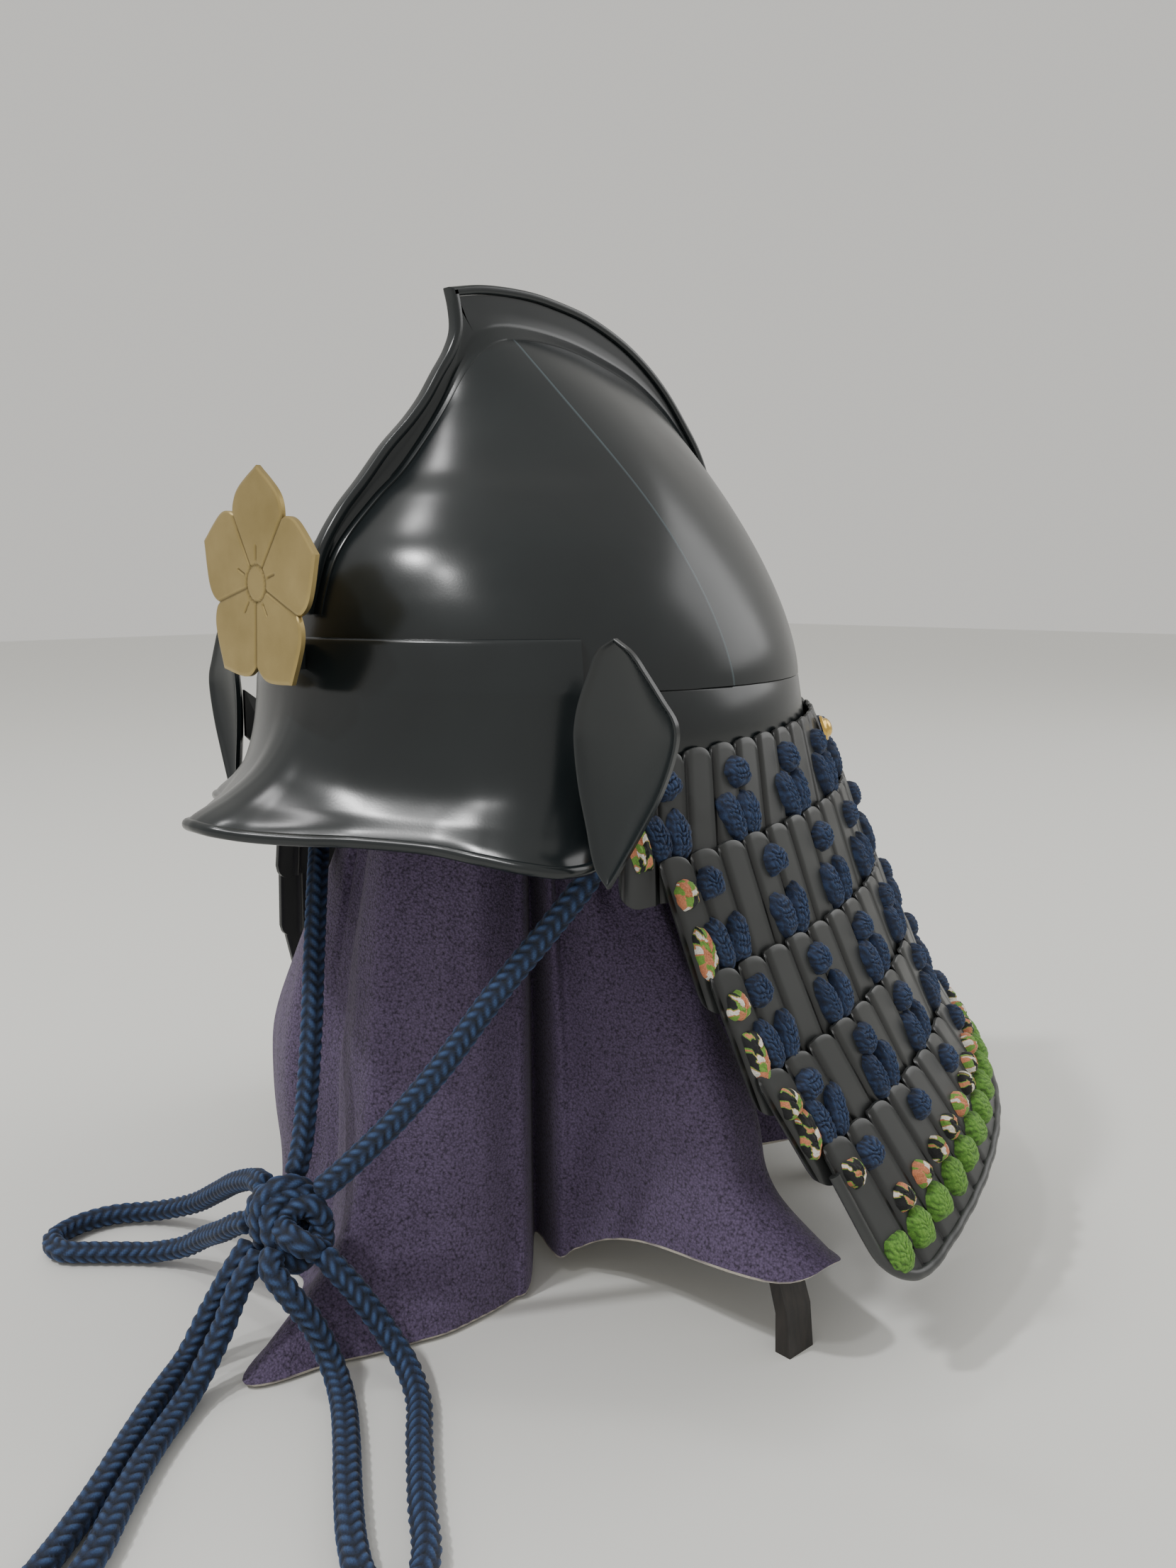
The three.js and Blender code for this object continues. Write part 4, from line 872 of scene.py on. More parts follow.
@dataclass
class Visor:
    """The visor: hugs the bowl at the brow and flares to a lip with a rolled bead."""

    bowl: Bowl
    brow_z: float = 268.0
    half_angle: float = 58.0
    reach: float = 45.4
    drop: float = 79.0
    gap: float = 0.9
    wall: float = 2.2
    bead: float = 2.3
    lip: np.ndarray = field(default_factory=lambda: np.array([
        (0.0, 1.0, 0.861), (0.06, 0.965, 0.869), (0.13, 0.82, 0.888), (0.245, 0.63, 0.898),
        (0.372, 0.465, 0.902), (0.578, 0.4, 0.918), (0.722, 0.53, 0.943), (0.826, 0.63, 0.968),
        (0.905, 0.61, 0.992), (0.96, 0.5, 1.0), (1.0, 0.36, 1.0)]))
    flare: np.ndarray = field(default_factory=lambda: np.array([
        (0.0, 0.0), (0.2, 0.01), (0.4, 0.06), (0.58, 0.17), (0.74, 0.36), (0.87, 0.64), (0.96, 0.91),
        (1.0, 1.0)]))

    def surface(self, sides: np.ndarray, downs: np.ndarray, depth: float) -> np.ndarray:
        """Radius = the bowl's own + a reach that grows by the flare table, at heights from brow to lip.

        Args:
            sides: Signed shares of the half angle, one a column.
            downs: Shares of the way down, one a row.
            depth: Distance in from the outer side.

        Returns:
            The grid.
        """
        turn = np.radians(self.half_angle) * sides[None, :]
        reach = self.reach * ease_table(self.lip, 1, np.abs(sides))[None, :]
        drop = self.drop * ease_table(self.lip, 2, np.abs(sides))[None, :]
        out = ease_table(self.flare, 1, downs)[:, None]
        z = self.brow_z - drop * downs[:, None]
        radius = self.bowl.radius(turn + 0 * z, z) + self.gap + self.wall - depth + reach * out
        x, y = radius * np.sin(turn), self.bowl.centre_y - radius * np.cos(turn)
        return np.stack([x, y, z + (self.wall - depth) * out], axis=-1)

    def make(self, finish: bpy.types.Material) -> list[bpy.types.Object]:
        """Builds the plate and the bead along its lip.

        Args:
            finish: The shell's material.

        Returns:
            The visor, in a list.
        """
        sides, downs = np.linspace(-1, 1, 181), np.linspace(0, 1, 60)
        draft = MeshDraft("visor_plate")
        downs = np.concatenate([[0.0, 0.006, 0.013], downs[1:]])
        outer = self.surface(sides, downs, 0.0)
        round_edge = np.array([1.0, 0.3, 0.05] + [0.0] * (len(downs) - 3))[:, None, None]
        middle = np.array([0.0, self.bowl.centre_y, 0.0])
        inwards = unit((middle - outer) * np.array([1.0, 1.0, 0.0]))
        outer = outer + inwards * round_edge
        draft.shell(outer, self.surface(sides, downs, self.wall))
        lip = self.surface(sides, np.array([1.0]), self.wall * 0.5)[0]
        ring = np.linspace(0, 2 * np.pi, 14, endpoint=False)
        section = self.bead * np.stack([np.cos(ring), np.sin(ring)], axis=1)
        capped_tube(draft, swept(lip, section, np.tile([0.0, 0.0, 1.0], (len(lip), 1))))
        return [draft.build(finish, Slot.SHELL, ["visor"])]


@dataclass
class NeckBand:
    """The band that continues the bowl's rim behind the visor."""

    bowl: Bowl
    flare: float = 3.6
    drop: float = 24.0
    front_angle: float = -30.5
    wall: float = 1.6

    def make(self, finish: bpy.types.Material) -> bpy.types.Object:
        """Builds the band, a cone of two rings, with softened edges.

        Args:
            finish: The shell's material.

        Returns:
            The band.
        """
        turn = np.radians(np.linspace(self.front_angle, 180 - self.front_angle, 200))[None, :]
        down = np.array([0.0, 0.03, 0.5, 0.97, 1.0])[:, None]
        sides = []
        for depth in (0.0, self.wall):
            edge = np.where((down == 0) | (down == 1), 0.4, 0.0) * (1 if depth == 0 else -1)
            radius = self.bowl.width / 2 + self.flare * down - depth - edge
            sides.append(np.stack([
                radius * np.cos(turn), self.bowl.centre_y + radius * np.sin(turn),
                self.bowl.rim_z - 0.35 - self.drop * down + 0 * turn], axis=-1))
        draft = MeshDraft("neck_guard_band")
        draft.shell(*sides)
        return draft.build(finish, Slot.SHELL, ["neck_band"])


@dataclass
class Wing:
    """A side wing: a dished leaf with a thin raised rim, standing out from the temple."""

    name: str
    side: int
    height: float = 84.0
    width: float = 41.0
    foot_z: float = 186.0
    centre: tuple[float, float] = (132.0, -97.0)
    turn: float = 10.0
    dish: float = 5.0
    wall: float = 2.0
    outline: np.ndarray = field(default_factory=lambda: np.array([
        (0.0, -0.06, -0.06), (0.08, -0.19, 0.05), (0.25, -0.28, 0.27), (0.42, -0.36, 0.47),
        (0.6, -0.4, 0.6), (0.69, -0.38, 0.59), (0.77, -0.33, 0.47), (0.87, -0.24, 0.31),
        (0.95, -0.16, 0.17), (1.0, 0.01, 0.01)]))

    def surface(self, ups: np.ndarray, across: np.ndarray, depth: float) -> np.ndarray:
        """Leaf between an inner and an outer outline, sunk by a bowl-shaped dish and lipped at its edge.

        Args:
            ups: Shares of its height, one a row.
            across: Shares of its width, one a column.
            depth: Distance in from its face.

        Returns:
            The grid.
        """
        inner = ease_table(self.outline, 1, ups)[:, None] * self.width
        outer = ease_table(self.outline, 2, ups)[:, None] * self.width
        hollow = (1 - (2 * across[None, :] - 1) ** 2) * (1 - (2 * ups[:, None] - 1) ** 2)
        edge = np.minimum(across, 1 - across)[None, :] * (outer - inner)
        rim = 0.8 * np.exp(-((edge - 0.9) / 1.1) ** 2)
        a = math.radians(self.turn)
        out, face = np.array([math.cos(a), math.sin(a), 0]), np.array([math.sin(a), -math.cos(a), 0])
        base = np.array([self.centre[0], self.centre[1], self.foot_z])
        along = inner + (outer - inner) * across[None, :]
        sink = -self.dish * hollow + rim - depth
        lift = (self.height * ups)[:, None, None] * np.array([0, 0, 1.0])
        grid = base + lift + along[..., None] * out + sink[..., None] * face
        return grid * np.array([self.side, 1, 1])

    def make(self, finish: bpy.types.Material) -> bpy.types.Object:
        """Builds the leaf.

        Args:
            finish: The shell's material.

        Returns:
            The wing.
        """
        ups = (1 - np.cos(np.linspace(0, np.pi, 70))) / 2
        across = (1 - np.cos(np.linspace(0, np.pi, 34))) / 2
        draft = MeshDraft(f"side_wing_leaf_{self.name}")
        draft.shell(self.surface(ups, across, 0.0), self.surface(ups, across, self.wall))
        return draft.build(finish, Slot.SHELL, [f"side_wing_{self.name}"])


@dataclass
class NeckGuard:
    """Five lames hung one below the other, ribbed and scalloped, with the lacing that carries them."""

    bowl: Bowl
    top_z: float = 229.5
    drop: float = 197.0
    width: float = 404.0
    back: float = 222.0
    centre_y: float = -38.0
    scallops: int = 39
    scallop_depth: float = 4.2
    rib: float = 1.2
    wall: float = 1.6
    seat_gap: float = 0.35
    overlap: float = 15.0
    corner: float = 9.0
    lowest_corner: float = 22.0
    lead: tuple[float, ...] = (8.0, 2.0, 2.0, 2.0)
    rim_radius: float = 2.2
    per_scallop: int = 18
    levels: np.ndarray = field(default_factory=lambda: np.array([
        (0.0, 0.043, 0.594, 0.545, 0.47, 2.05, -26.0), (0.168, 0.071, 0.661, 0.649, 0.71, 2.15, -19.6),
        (0.369, 0.096, 0.73, 0.748, 0.87, 2.2, -12.4), (0.551, 0.157, 0.802, 0.82, 0.97, 2.2, -7.3),
        (0.706, 0.147, 0.869, 0.905, 1.0, 2.2, 0.0), (1.0, 0.274, 1.0, 1.0, 1.0, 2.2, 4.2)]))

    @property
    def count(self) -> int:
        """How many lames there are."""
        return len(self.levels) - 1

    def ring(self, level: int, turn: np.ndarray) -> np.ndarray:
        """Oval ring of a level: (cos/a)^p + (sin/b)^p = 1 in plan, lifted towards the nape.

        Args:
            level: Row of the levels table.
            turn: Turns round the ring, in radians.

        Returns:
            Points of the ring.
        """
        drop, lift, width, back, centre, power, _ = self.levels[level]
        cosine, sine = np.cos(turn), np.sin(turn)
        half, deep = width * self.width / 2, back * self.back
        radius = (np.abs(cosine / half) ** power + np.abs(sine / deep) ** power) ** (-1 / power)
        rise = lift * self.drop * sine * (1 - 0.22 * np.abs(sine) ** 4)
        z = self.top_z - drop * self.drop + rise
        return np.stack([radius * cosine, centre * self.centre_y + radius * sine, z], axis=-1)

    def turn_at(self, level: int, share: np.ndarray) -> np.ndarray:
        """Turn of a place on a level's ring, at a share from one front end round the nape to the other."""
        front = self.levels[level][6]
        return np.radians(front + (180 - 2 * front) * share)

    def outwards(self, points: np.ndarray) -> np.ndarray:
        """Level directions away from the bowl's axis."""
        flat = points - np.array([0.0, self.bowl.centre_y, 0.0])
        return unit(flat * np.array([1.0, 1.0, 0.0]))

    def foot(self, lame: int, share: np.ndarray) -> np.ndarray:
        """Foot of a lame: an overlap below the next one's top edge, and clear of its inner side.

        Args:
            lame: Which lame, from the top.
            share: Shares along it.

        Returns:
            Points of its foot.
        """
        if lame == self.count - 1:
            return self.ring(self.count, self.turn_at(self.count, share))
        front = self.levels[lame + 1][6]
        turn = self.turn_at(lame + 1, share) - np.radians(self.lead[lame]) * (1 - 2 * share)
        below = (np.degrees(turn) - front) / (180 - 2 * front)
        top = self.ring(lame, self.turn_at(lame, share))
        edge = self.ring(lame + 1, self.turn_at(lame + 1, below))
        following = self.foot(lame + 1, below)
        reach = self.overlap / (edge[..., 2:] - following[..., 2:])
        foot = edge + (following - edge) * reach
        outwards = self.outwards(foot)
        inset = self.wall + self.rib + self.seat_gap
        foot = foot - outwards * inset
        passing = (top[..., 2:] - edge[..., 2:]) / (top[..., 2:] - foot[..., 2:])
        excess = np.sum((top + (foot - top) * passing - edge) * outwards, axis=-1, keepdims=True) + inset
        return foot - outwards * np.maximum(excess, 0) / passing

    def line(self, lame: int, share: np.ndarray, down: np.ndarray) -> np.ndarray:
        """Smooth outer side of a lame, at shares along it and down it."""
        top = self.ring(lame, self.turn_at(lame, share))
        return top + (self.foot(lame, share) - top) * np.asarray(down)[..., None]

    def plate(self, lame: int, draft: MeshDraft) -> None:
        """Adds a lame: each scallop's top is an arc, and a rounded rib with a groove marks each joint.

        Args:
            lame: Which lame, from the top.
            draft: The mesh that takes it.
        """
        share = np.linspace(0, 1, self.scallops * self.per_scallop + 1)
        within = (share * self.scallops) % 1.0
        within[-1] = 0.0
        top, foot = self.line(lame, share, 0 * share), self.line(lame, share, 0 * share + 1)
        height = top[:, 2] - foot[:, 2]
        arc = 1 - np.sqrt(np.clip(1 - np.abs(2 * within - 1) ** 2.1, 0, 1))
        dip = self.scallop_depth * arc / height
        limit = self.lowest_corner if lame == self.count - 1 else self.corner
        ends = np.where((share < 0.5)[:, None], foot[0], foot[-1])
        near = np.minimum(np.hypot(*(foot - ends)[:, :2].T) / limit, 1)
        rise = limit * (1 - np.sqrt(np.clip(1 - (1 - near) ** 2, 0, 1))) / height
        rows = np.concatenate([[0, 0.012], np.linspace(0.05, 1, 10)])
        down = dip[None, :] + (1 - rise - dip)[None, :] * rows[:, None]
        outer = self.line(lame, np.broadcast_to(share, down.shape), down)
        close = np.minimum(within, 1 - within)
        profile = 0.35 * self.rib * bump_at(close, 0.0, 0.04) - 1.1 * bump_at(within, 0.15, 0.085)
        edge = np.where(rows < 0.006, 0.35, 0.0)
        out = self.outwards(outer)
        uv = np.stack(np.broadcast_arrays(share[None, :] * self.scallops * 14, down * 50), axis=-1)
        face = outer + out * (profile[None, :] - edge[:, None])[..., None]
        back = outer + out * (profile[None, :] - self.wall + edge[:, None])[..., None]
        # Painted shade: the groove just behind each joint is darkened in the lacquer's colour.
        hollow = np.broadcast_to(bump_at(within, 0.13, 0.1)[None, :], down.shape)
        draft.shell(face, back, uv=uv, tone=hollow)
        if lame == self.count - 1:
            self.rolled_rim(draft, face, back)

    def rolled_rim(self, draft: MeshDraft, face: np.ndarray, back: np.ndarray) -> None:
        """Adds the rounded bead along the lowest lame's two front ends and its foot.

        Args:
            draft: The mesh that takes it.
            face: The lame's outer grid.
            back: Its inner grid.
        """
        middle = (face + back) / 2
        path = np.vstack([middle[3:, 0], middle[-1, 1:-1], middle[3:, -1][::-1]])
        path = even_points(path, np.linspace(0, 1, 700))
        kernel = np.ones(9) / 9
        padded = np.vstack([np.repeat(path[:1], 4, axis=0), path, np.repeat(path[-1:], 4, axis=0)])
        path = np.stack([np.convolve(padded[:, k], kernel, mode="valid") for k in range(3)], axis=1)
        ring = np.linspace(0, 2 * np.pi, 12, endpoint=False)
        section = self.rim_radius * np.stack([np.cos(ring), np.sin(ring)], axis=1)
        capped_tube(draft, swept(path, section, self.outwards(path)))

    def make(self, finish: bpy.types.Material) -> list[bpy.types.Object]:
        """Builds the five lames.

        Args:
            finish: The lames' material.

        Returns:
            The lames, from the top.
        """
        pieces = []
        for lame in range(self.count):
            draft = MeshDraft(f"guard_lame_{lame + 1}")
            self.plate(lame, draft)
            pieces.append(draft.build(finish, Slot.LAMES, [f"neck_lame_{lame + 1}"]))
        return pieces


class Lace(Enum):
    """The three silks of the lacing."""

    NAVY = "navy"
    GREEN = "green"
    WOVEN = "woven"


@dataclass
class Lacing:
    """Silk lacing: padded stitches that stand on the lames in columns."""

    guard: NeckGuard
    columns: int = 15
    first: float = 1.4
    height: float = 4.8
    strand: float = 2.3
    pad: tuple[float, float] = (6.0, 5.9)
    pair: tuple[float, float] = (5.0, 9.8)
    tuft: tuple[float, float] = (6.7, 7.2)
    end_pad: tuple[float, float] = (4.4, 5.6)
    end_pair: tuple[float, float] = (4.2, 9.6)
    foot_pad: tuple[float, float] = (4.9, 5.0)
    relief: dict[Lace, float] = field(default_factory=lambda: {
        Lace.NAVY: 1.2, Lace.GREEN: 0.6, Lace.WOVEN: 0.8})

    def stitch(self, draft: MeshDraft, lame: int, share: float, down_mm: float, size: tuple[float, float],
               lean: float, lace: Lace, seed: int) -> None:
        """Adds one padded stitch: a dome with a chevron braid pressed into it.

        Args:
            draft: The mesh that gathers the stitches.
            lame: Which lame it stands on.
            share: Its place along the lame.
            down_mm: Its distance below the lame's top edge.
            size: Half its width and half its height.
            lean: Its turn on the lame, in degrees.
            lace: Which silk it is.
            seed: Its own number, for its small irregularities.
        """
        guard = self.guard
        step = 0.004
        s = np.array([share - step, share + step, share, share])
        top, foot = guard.line(lame, s, 0 * s), guard.line(lame, s, 0 * s + 1)
        length = np.linalg.norm(foot[2] - top[2])
        down = np.array([down_mm, down_mm, down_mm, down_mm + 2]) / length
        p = guard.line(lame, s, down)
        along, below = unit(p[1] - p[0]), unit(p[3] - p[2])
        normal = unit(np.cross(along, below))
        if np.dot(normal, guard.outwards(p[2][None])[0]) < 0:
            normal = -normal
        below = unit(np.cross(normal, along)) * np.sign(np.dot(np.cross(normal, along), below))
        rng = np.random.default_rng(seed)
        wobble = rng.uniform(-0.05, 0.05, 5)
        ring, around = np.linspace(0, 1, 15)[:, None], np.linspace(0, 2 * np.pi, 44, endpoint=False)[None, :]
        power = 2.5
        outline = (np.abs(np.cos(around)) ** power + np.abs(np.sin(around)) ** power) ** (-1 / power)
        outline = outline * (1 + 1.5 * wobble[0] * np.cos(2 * around)
                             + 1.6 * wobble[1] * np.sin(3 * around + seed)
                             + wobble[3] * np.sin(5 * around) + 0.03 * np.sin(9 * around + seed))
        a, b = ring * outline * np.cos(around) * size[0], ring * outline * np.sin(around) * size[1]
        rise = self.height * (1 - ring ** 3.0) ** 0.55
        bend = 0.22 * np.sin(1.5 * a + seed) + 0.2 * np.sin(1.3 * b + 2.1 * seed)
        chevron = (b + np.abs(a) * 0.8) / self.strand + bend + wobble[2] * 8
        ply = np.abs(np.sin(np.pi * (a / 1.5 + 0.4 * bend + 0.5)))
        weave = np.abs(np.sin(np.pi * chevron)) ** 0.7 * (0.45 + 0.55 * ply)
        rise = rise + self.relief[lace] * (weave - 0.5) * (1 - ring ** 5)
        angle = math.radians(lean)
        a2, b2 = a * math.cos(angle) - b * math.sin(angle), a * math.sin(angle) + b * math.cos(angle)
        base = p[2] + normal * (guard.rib * 0.1)
        grid = base + a2[..., None] * along + b2[..., None] * below + (rise - 0.9)[..., None] * normal
        if lace is Lace.WOVEN:
            cell = np.floor(chevron * 0.8) * 7 + np.floor(a / 2.7 + 20) * 3 + seed * 5
            tone = (np.mod(cell * cell + 3 * cell, 11) % 4 + 0.5) / 4
        # Painted shade: on the navy and green silk the colour darkens in the braid's hollows and lightens on
        # its strands, and a painted contact shadow darkens the stitch's rim.
        else:
            tone = np.clip(0.05 + 0.95 * weave - 0.3 * ring ** 4, 0, 1)
        closed = np.concatenate([grid, np.repeat((base - normal * 1.2)[None, None], a.shape[1], axis=1)])
        tone = np.concatenate([np.broadcast_to(tone, a.shape), np.broadcast_to(tone, a.shape)[-1:]])
        draft.grid(closed, close_columns=True, tone=tone)

    def column_shares(self) -> np.ndarray:
        """Places of the lacing columns along a lame."""
        n = self.guard.scallops
        return np.linspace(self.first, n - self.first, self.columns) / n

    def make(self, palette: Palette) -> list[bpy.types.Object]:
        """Builds all the stitches, one piece for each silk and row kind.

        Args:
            palette: Every finish of the object.

        Returns:
            The four pieces.
        """
        pads, pairs = MeshDraft("navy_lacing_pads"), MeshDraft("navy_lacing_pairs")
        green, woven = MeshDraft("green_lacing"), MeshDraft("many_coloured_lacing")
        n = self.guard.scallops
        seed = 0
        for lame in range(self.guard.count):
            last = lame == self.guard.count - 1
            for share in self.column_shares():
                seed += 1
                self.stitch(pads, lame, share, 12.2, self.pad, -8, Lace.NAVY, seed)
                if not last:
                    drop = self.visible_height(lame, share) - 8.0
                    beside = 0.33 / n
                    self.stitch(pairs, lame, share - beside, drop, self.pair, -9, Lace.NAVY, seed + 900)
                    self.stitch(pairs, lame, share + beside, drop, self.pair, 11, Lace.NAVY, seed + 1800)
            for share in (0.55 / n, 1 - 0.55 / n):
                seed += 1
                self.stitch(woven, lame, share, 14.0, self.end_pad, 0, Lace.WOVEN, seed)
                if not last:
                    drop = self.visible_height(lame, share) - 7.0
                    self.stitch(woven, lame, share, drop, self.end_pair, 0, Lace.WOVEN, seed + 3)
        lame = self.guard.count - 1
        for index in range(n):
            share = (index + 0.6) / n
            height = self.visible_height(lame, share)
            self.stitch(green, lame, share, height - 14.0, self.tuft, 12, Lace.GREEN, 4000 + index)
            if 0 < index < n - 1:
                self.stitch(woven, lame, share, height - 26.5, self.foot_pad, 0, Lace.WOVEN, 5000 + index)
        return [
            pads.build(palette.lace, Slot.CORD), pairs.build(palette.lace, Slot.CORD),
            green.build(palette.green, Slot.CORD), woven.build(palette.woven, Slot.CORD)]

    def visible_height(self, lame: int, share: float) -> float:
        """Length of a lame from its top edge to the next one's, or to its foot on the lowest.

        Args:
            lame: Which lame, from the top.
            share: A share along it.

        Returns:
            The length in millimetres.
        """
        s = np.array([share])
        full = float(np.linalg.norm(self.guard.line(lame, s, s * 0) - self.guard.line(lame, s, s * 0 + 1)))
        return full - (0 if lame == self.guard.count - 1 else self.guard.overlap)


@dataclass
class Crest:
    """The crest: a five-petalled flower of thin plate, engraved along its petals."""

    radius: float = 42.5
    thickness: float = 2.0
    centre: tuple[float, float, float] = (0.0, -150.0, 288.0)
    lean: float = -4.6
    hub: float = 6.8
    engraving: float = 0.9
    petals: np.ndarray = field(default_factory=lambda: np.array([
        (0.0, 1.0), (5.0, 0.955), (13.0, 0.905), (25.0, 0.845), (31.0, 0.79), (36.0, 0.715)]))

    def outline(self, angle: np.ndarray) -> np.ndarray:
        """Share of the radius that the outline has at an angle from the axis of the first petal."""
        fold = np.abs((np.degrees(angle) + 36) % 72 - 36)
        return ease_table(self.petals, 1, fold)

    def make(self, finish: bpy.types.Material) -> bpy.types.Object:
        """Builds the plate on a polar grid: its face sinks at the engraved lines and eases back at its rim.

        Args:
            finish: The crest's material.

        Returns:
            The flower.
        """
        angle = np.linspace(0, 2 * np.pi, 360, endpoint=False)[None, :]
        ring = (np.linspace(0, 1, 70) ** 0.8)[:, None]
        r = ring * self.outline(angle) * self.radius
        fold = (np.degrees(angle) + 36) % 72 - 36
        across = r * np.sin(np.radians(fold))
        seam = r * np.sin(np.radians(36 - np.abs(fold)))
        groove = self.engraving * bump_at(seam, 0.0, 0.62) * (r > self.hub)
        groove = groove + self.engraving * bump_at(r, self.hub, 0.55)
        groove = groove + self.engraving * bump_at(across, 0.0, 0.55) * (r > 8.5) * (r < 14)
        edge = 0.5 * bump_at(ring, 1.0, 0.02)
        lift = -groove * 0.6 - edge
        direction = angle + math.radians(90 + self.lean)
        x, z = self.centre[0] + r * np.cos(direction), self.centre[2] + r * np.sin(direction)
        front = np.stack([x, self.centre[1] - self.thickness - lift, z], axis=-1)
        back = np.stack([x, self.centre[1] + 0.35 * edge + 0 * x, z], axis=-1)
        draft = MeshDraft("flower_crest_plate")
        draft.grid(front, close_columns=True, tone=np.clip(groove, 0, 1))
        draft.grid(back, close_columns=True)
        draft.grid(np.stack([front[-1], back[-1]]), close_columns=True)
        return draft.build(finish, Slot.CREST, ["crest_flower"], sharp=50)


@dataclass
class Boss:
    """A polished domed boss that pins the first lame."""

    guard: NeckGuard
    name: str
    side: int
    radius: float = 5.5
    height: float = 4.0
    angle: float = 36.0
    down: float = 0.2

    def make(self, finish: bpy.types.Material) -> bpy.types.Object:
        """Builds the dome over a stepped washer, a profile turned about the lame's normal.

        Args:
            finish: The boss's material.

        Returns:
            The boss.
        """
        front = self.guard.levels[0][6]
        share = np.array([(self.angle - front) / (180 - 2 * front)])
        line = self.guard.line
        seat = line(0, share, share * 0 + self.down)[0]
        along = unit(line(0, share, share * 0 + 0.5)[0] - line(0, share, share * 0)[0])
        out = self.guard.outwards(seat[None])[0]
        normal = unit(out - along * np.dot(out, along))
        seat = seat + normal * (self.guard.rib + self.guard.seat_gap)
        profile = np.array([(0, 0), (1, 0), (1.0, 0.22), (0.86, 0.34), (0.78, 0.36), (0.7, 0.62), (0.5, 0.86),
                            (0.25, 0.98), (0, 1)]) * np.array([self.radius, self.height])
        ring = np.linspace(0, 2 * np.pi, 40, endpoint=False)
        side = unit(np.cross(normal, [0, 0, 1.0]))
        up = np.cross(side, normal)
        spin = np.cos(ring)[:, None] * side + np.sin(ring)[:, None] * up
        grid = seat + profile[:, :1, None] * spin[None] + profile[:, 1:, None] * normal
        draft = MeshDraft(f"boss_dome_{self.name}")
        draft.grid(grid * np.array([self.side, 1, 1]), close_columns=True)
        return draft.build(finish, Slot.BOSS, [f"brass_boss_{self.name}"], sharp=60)


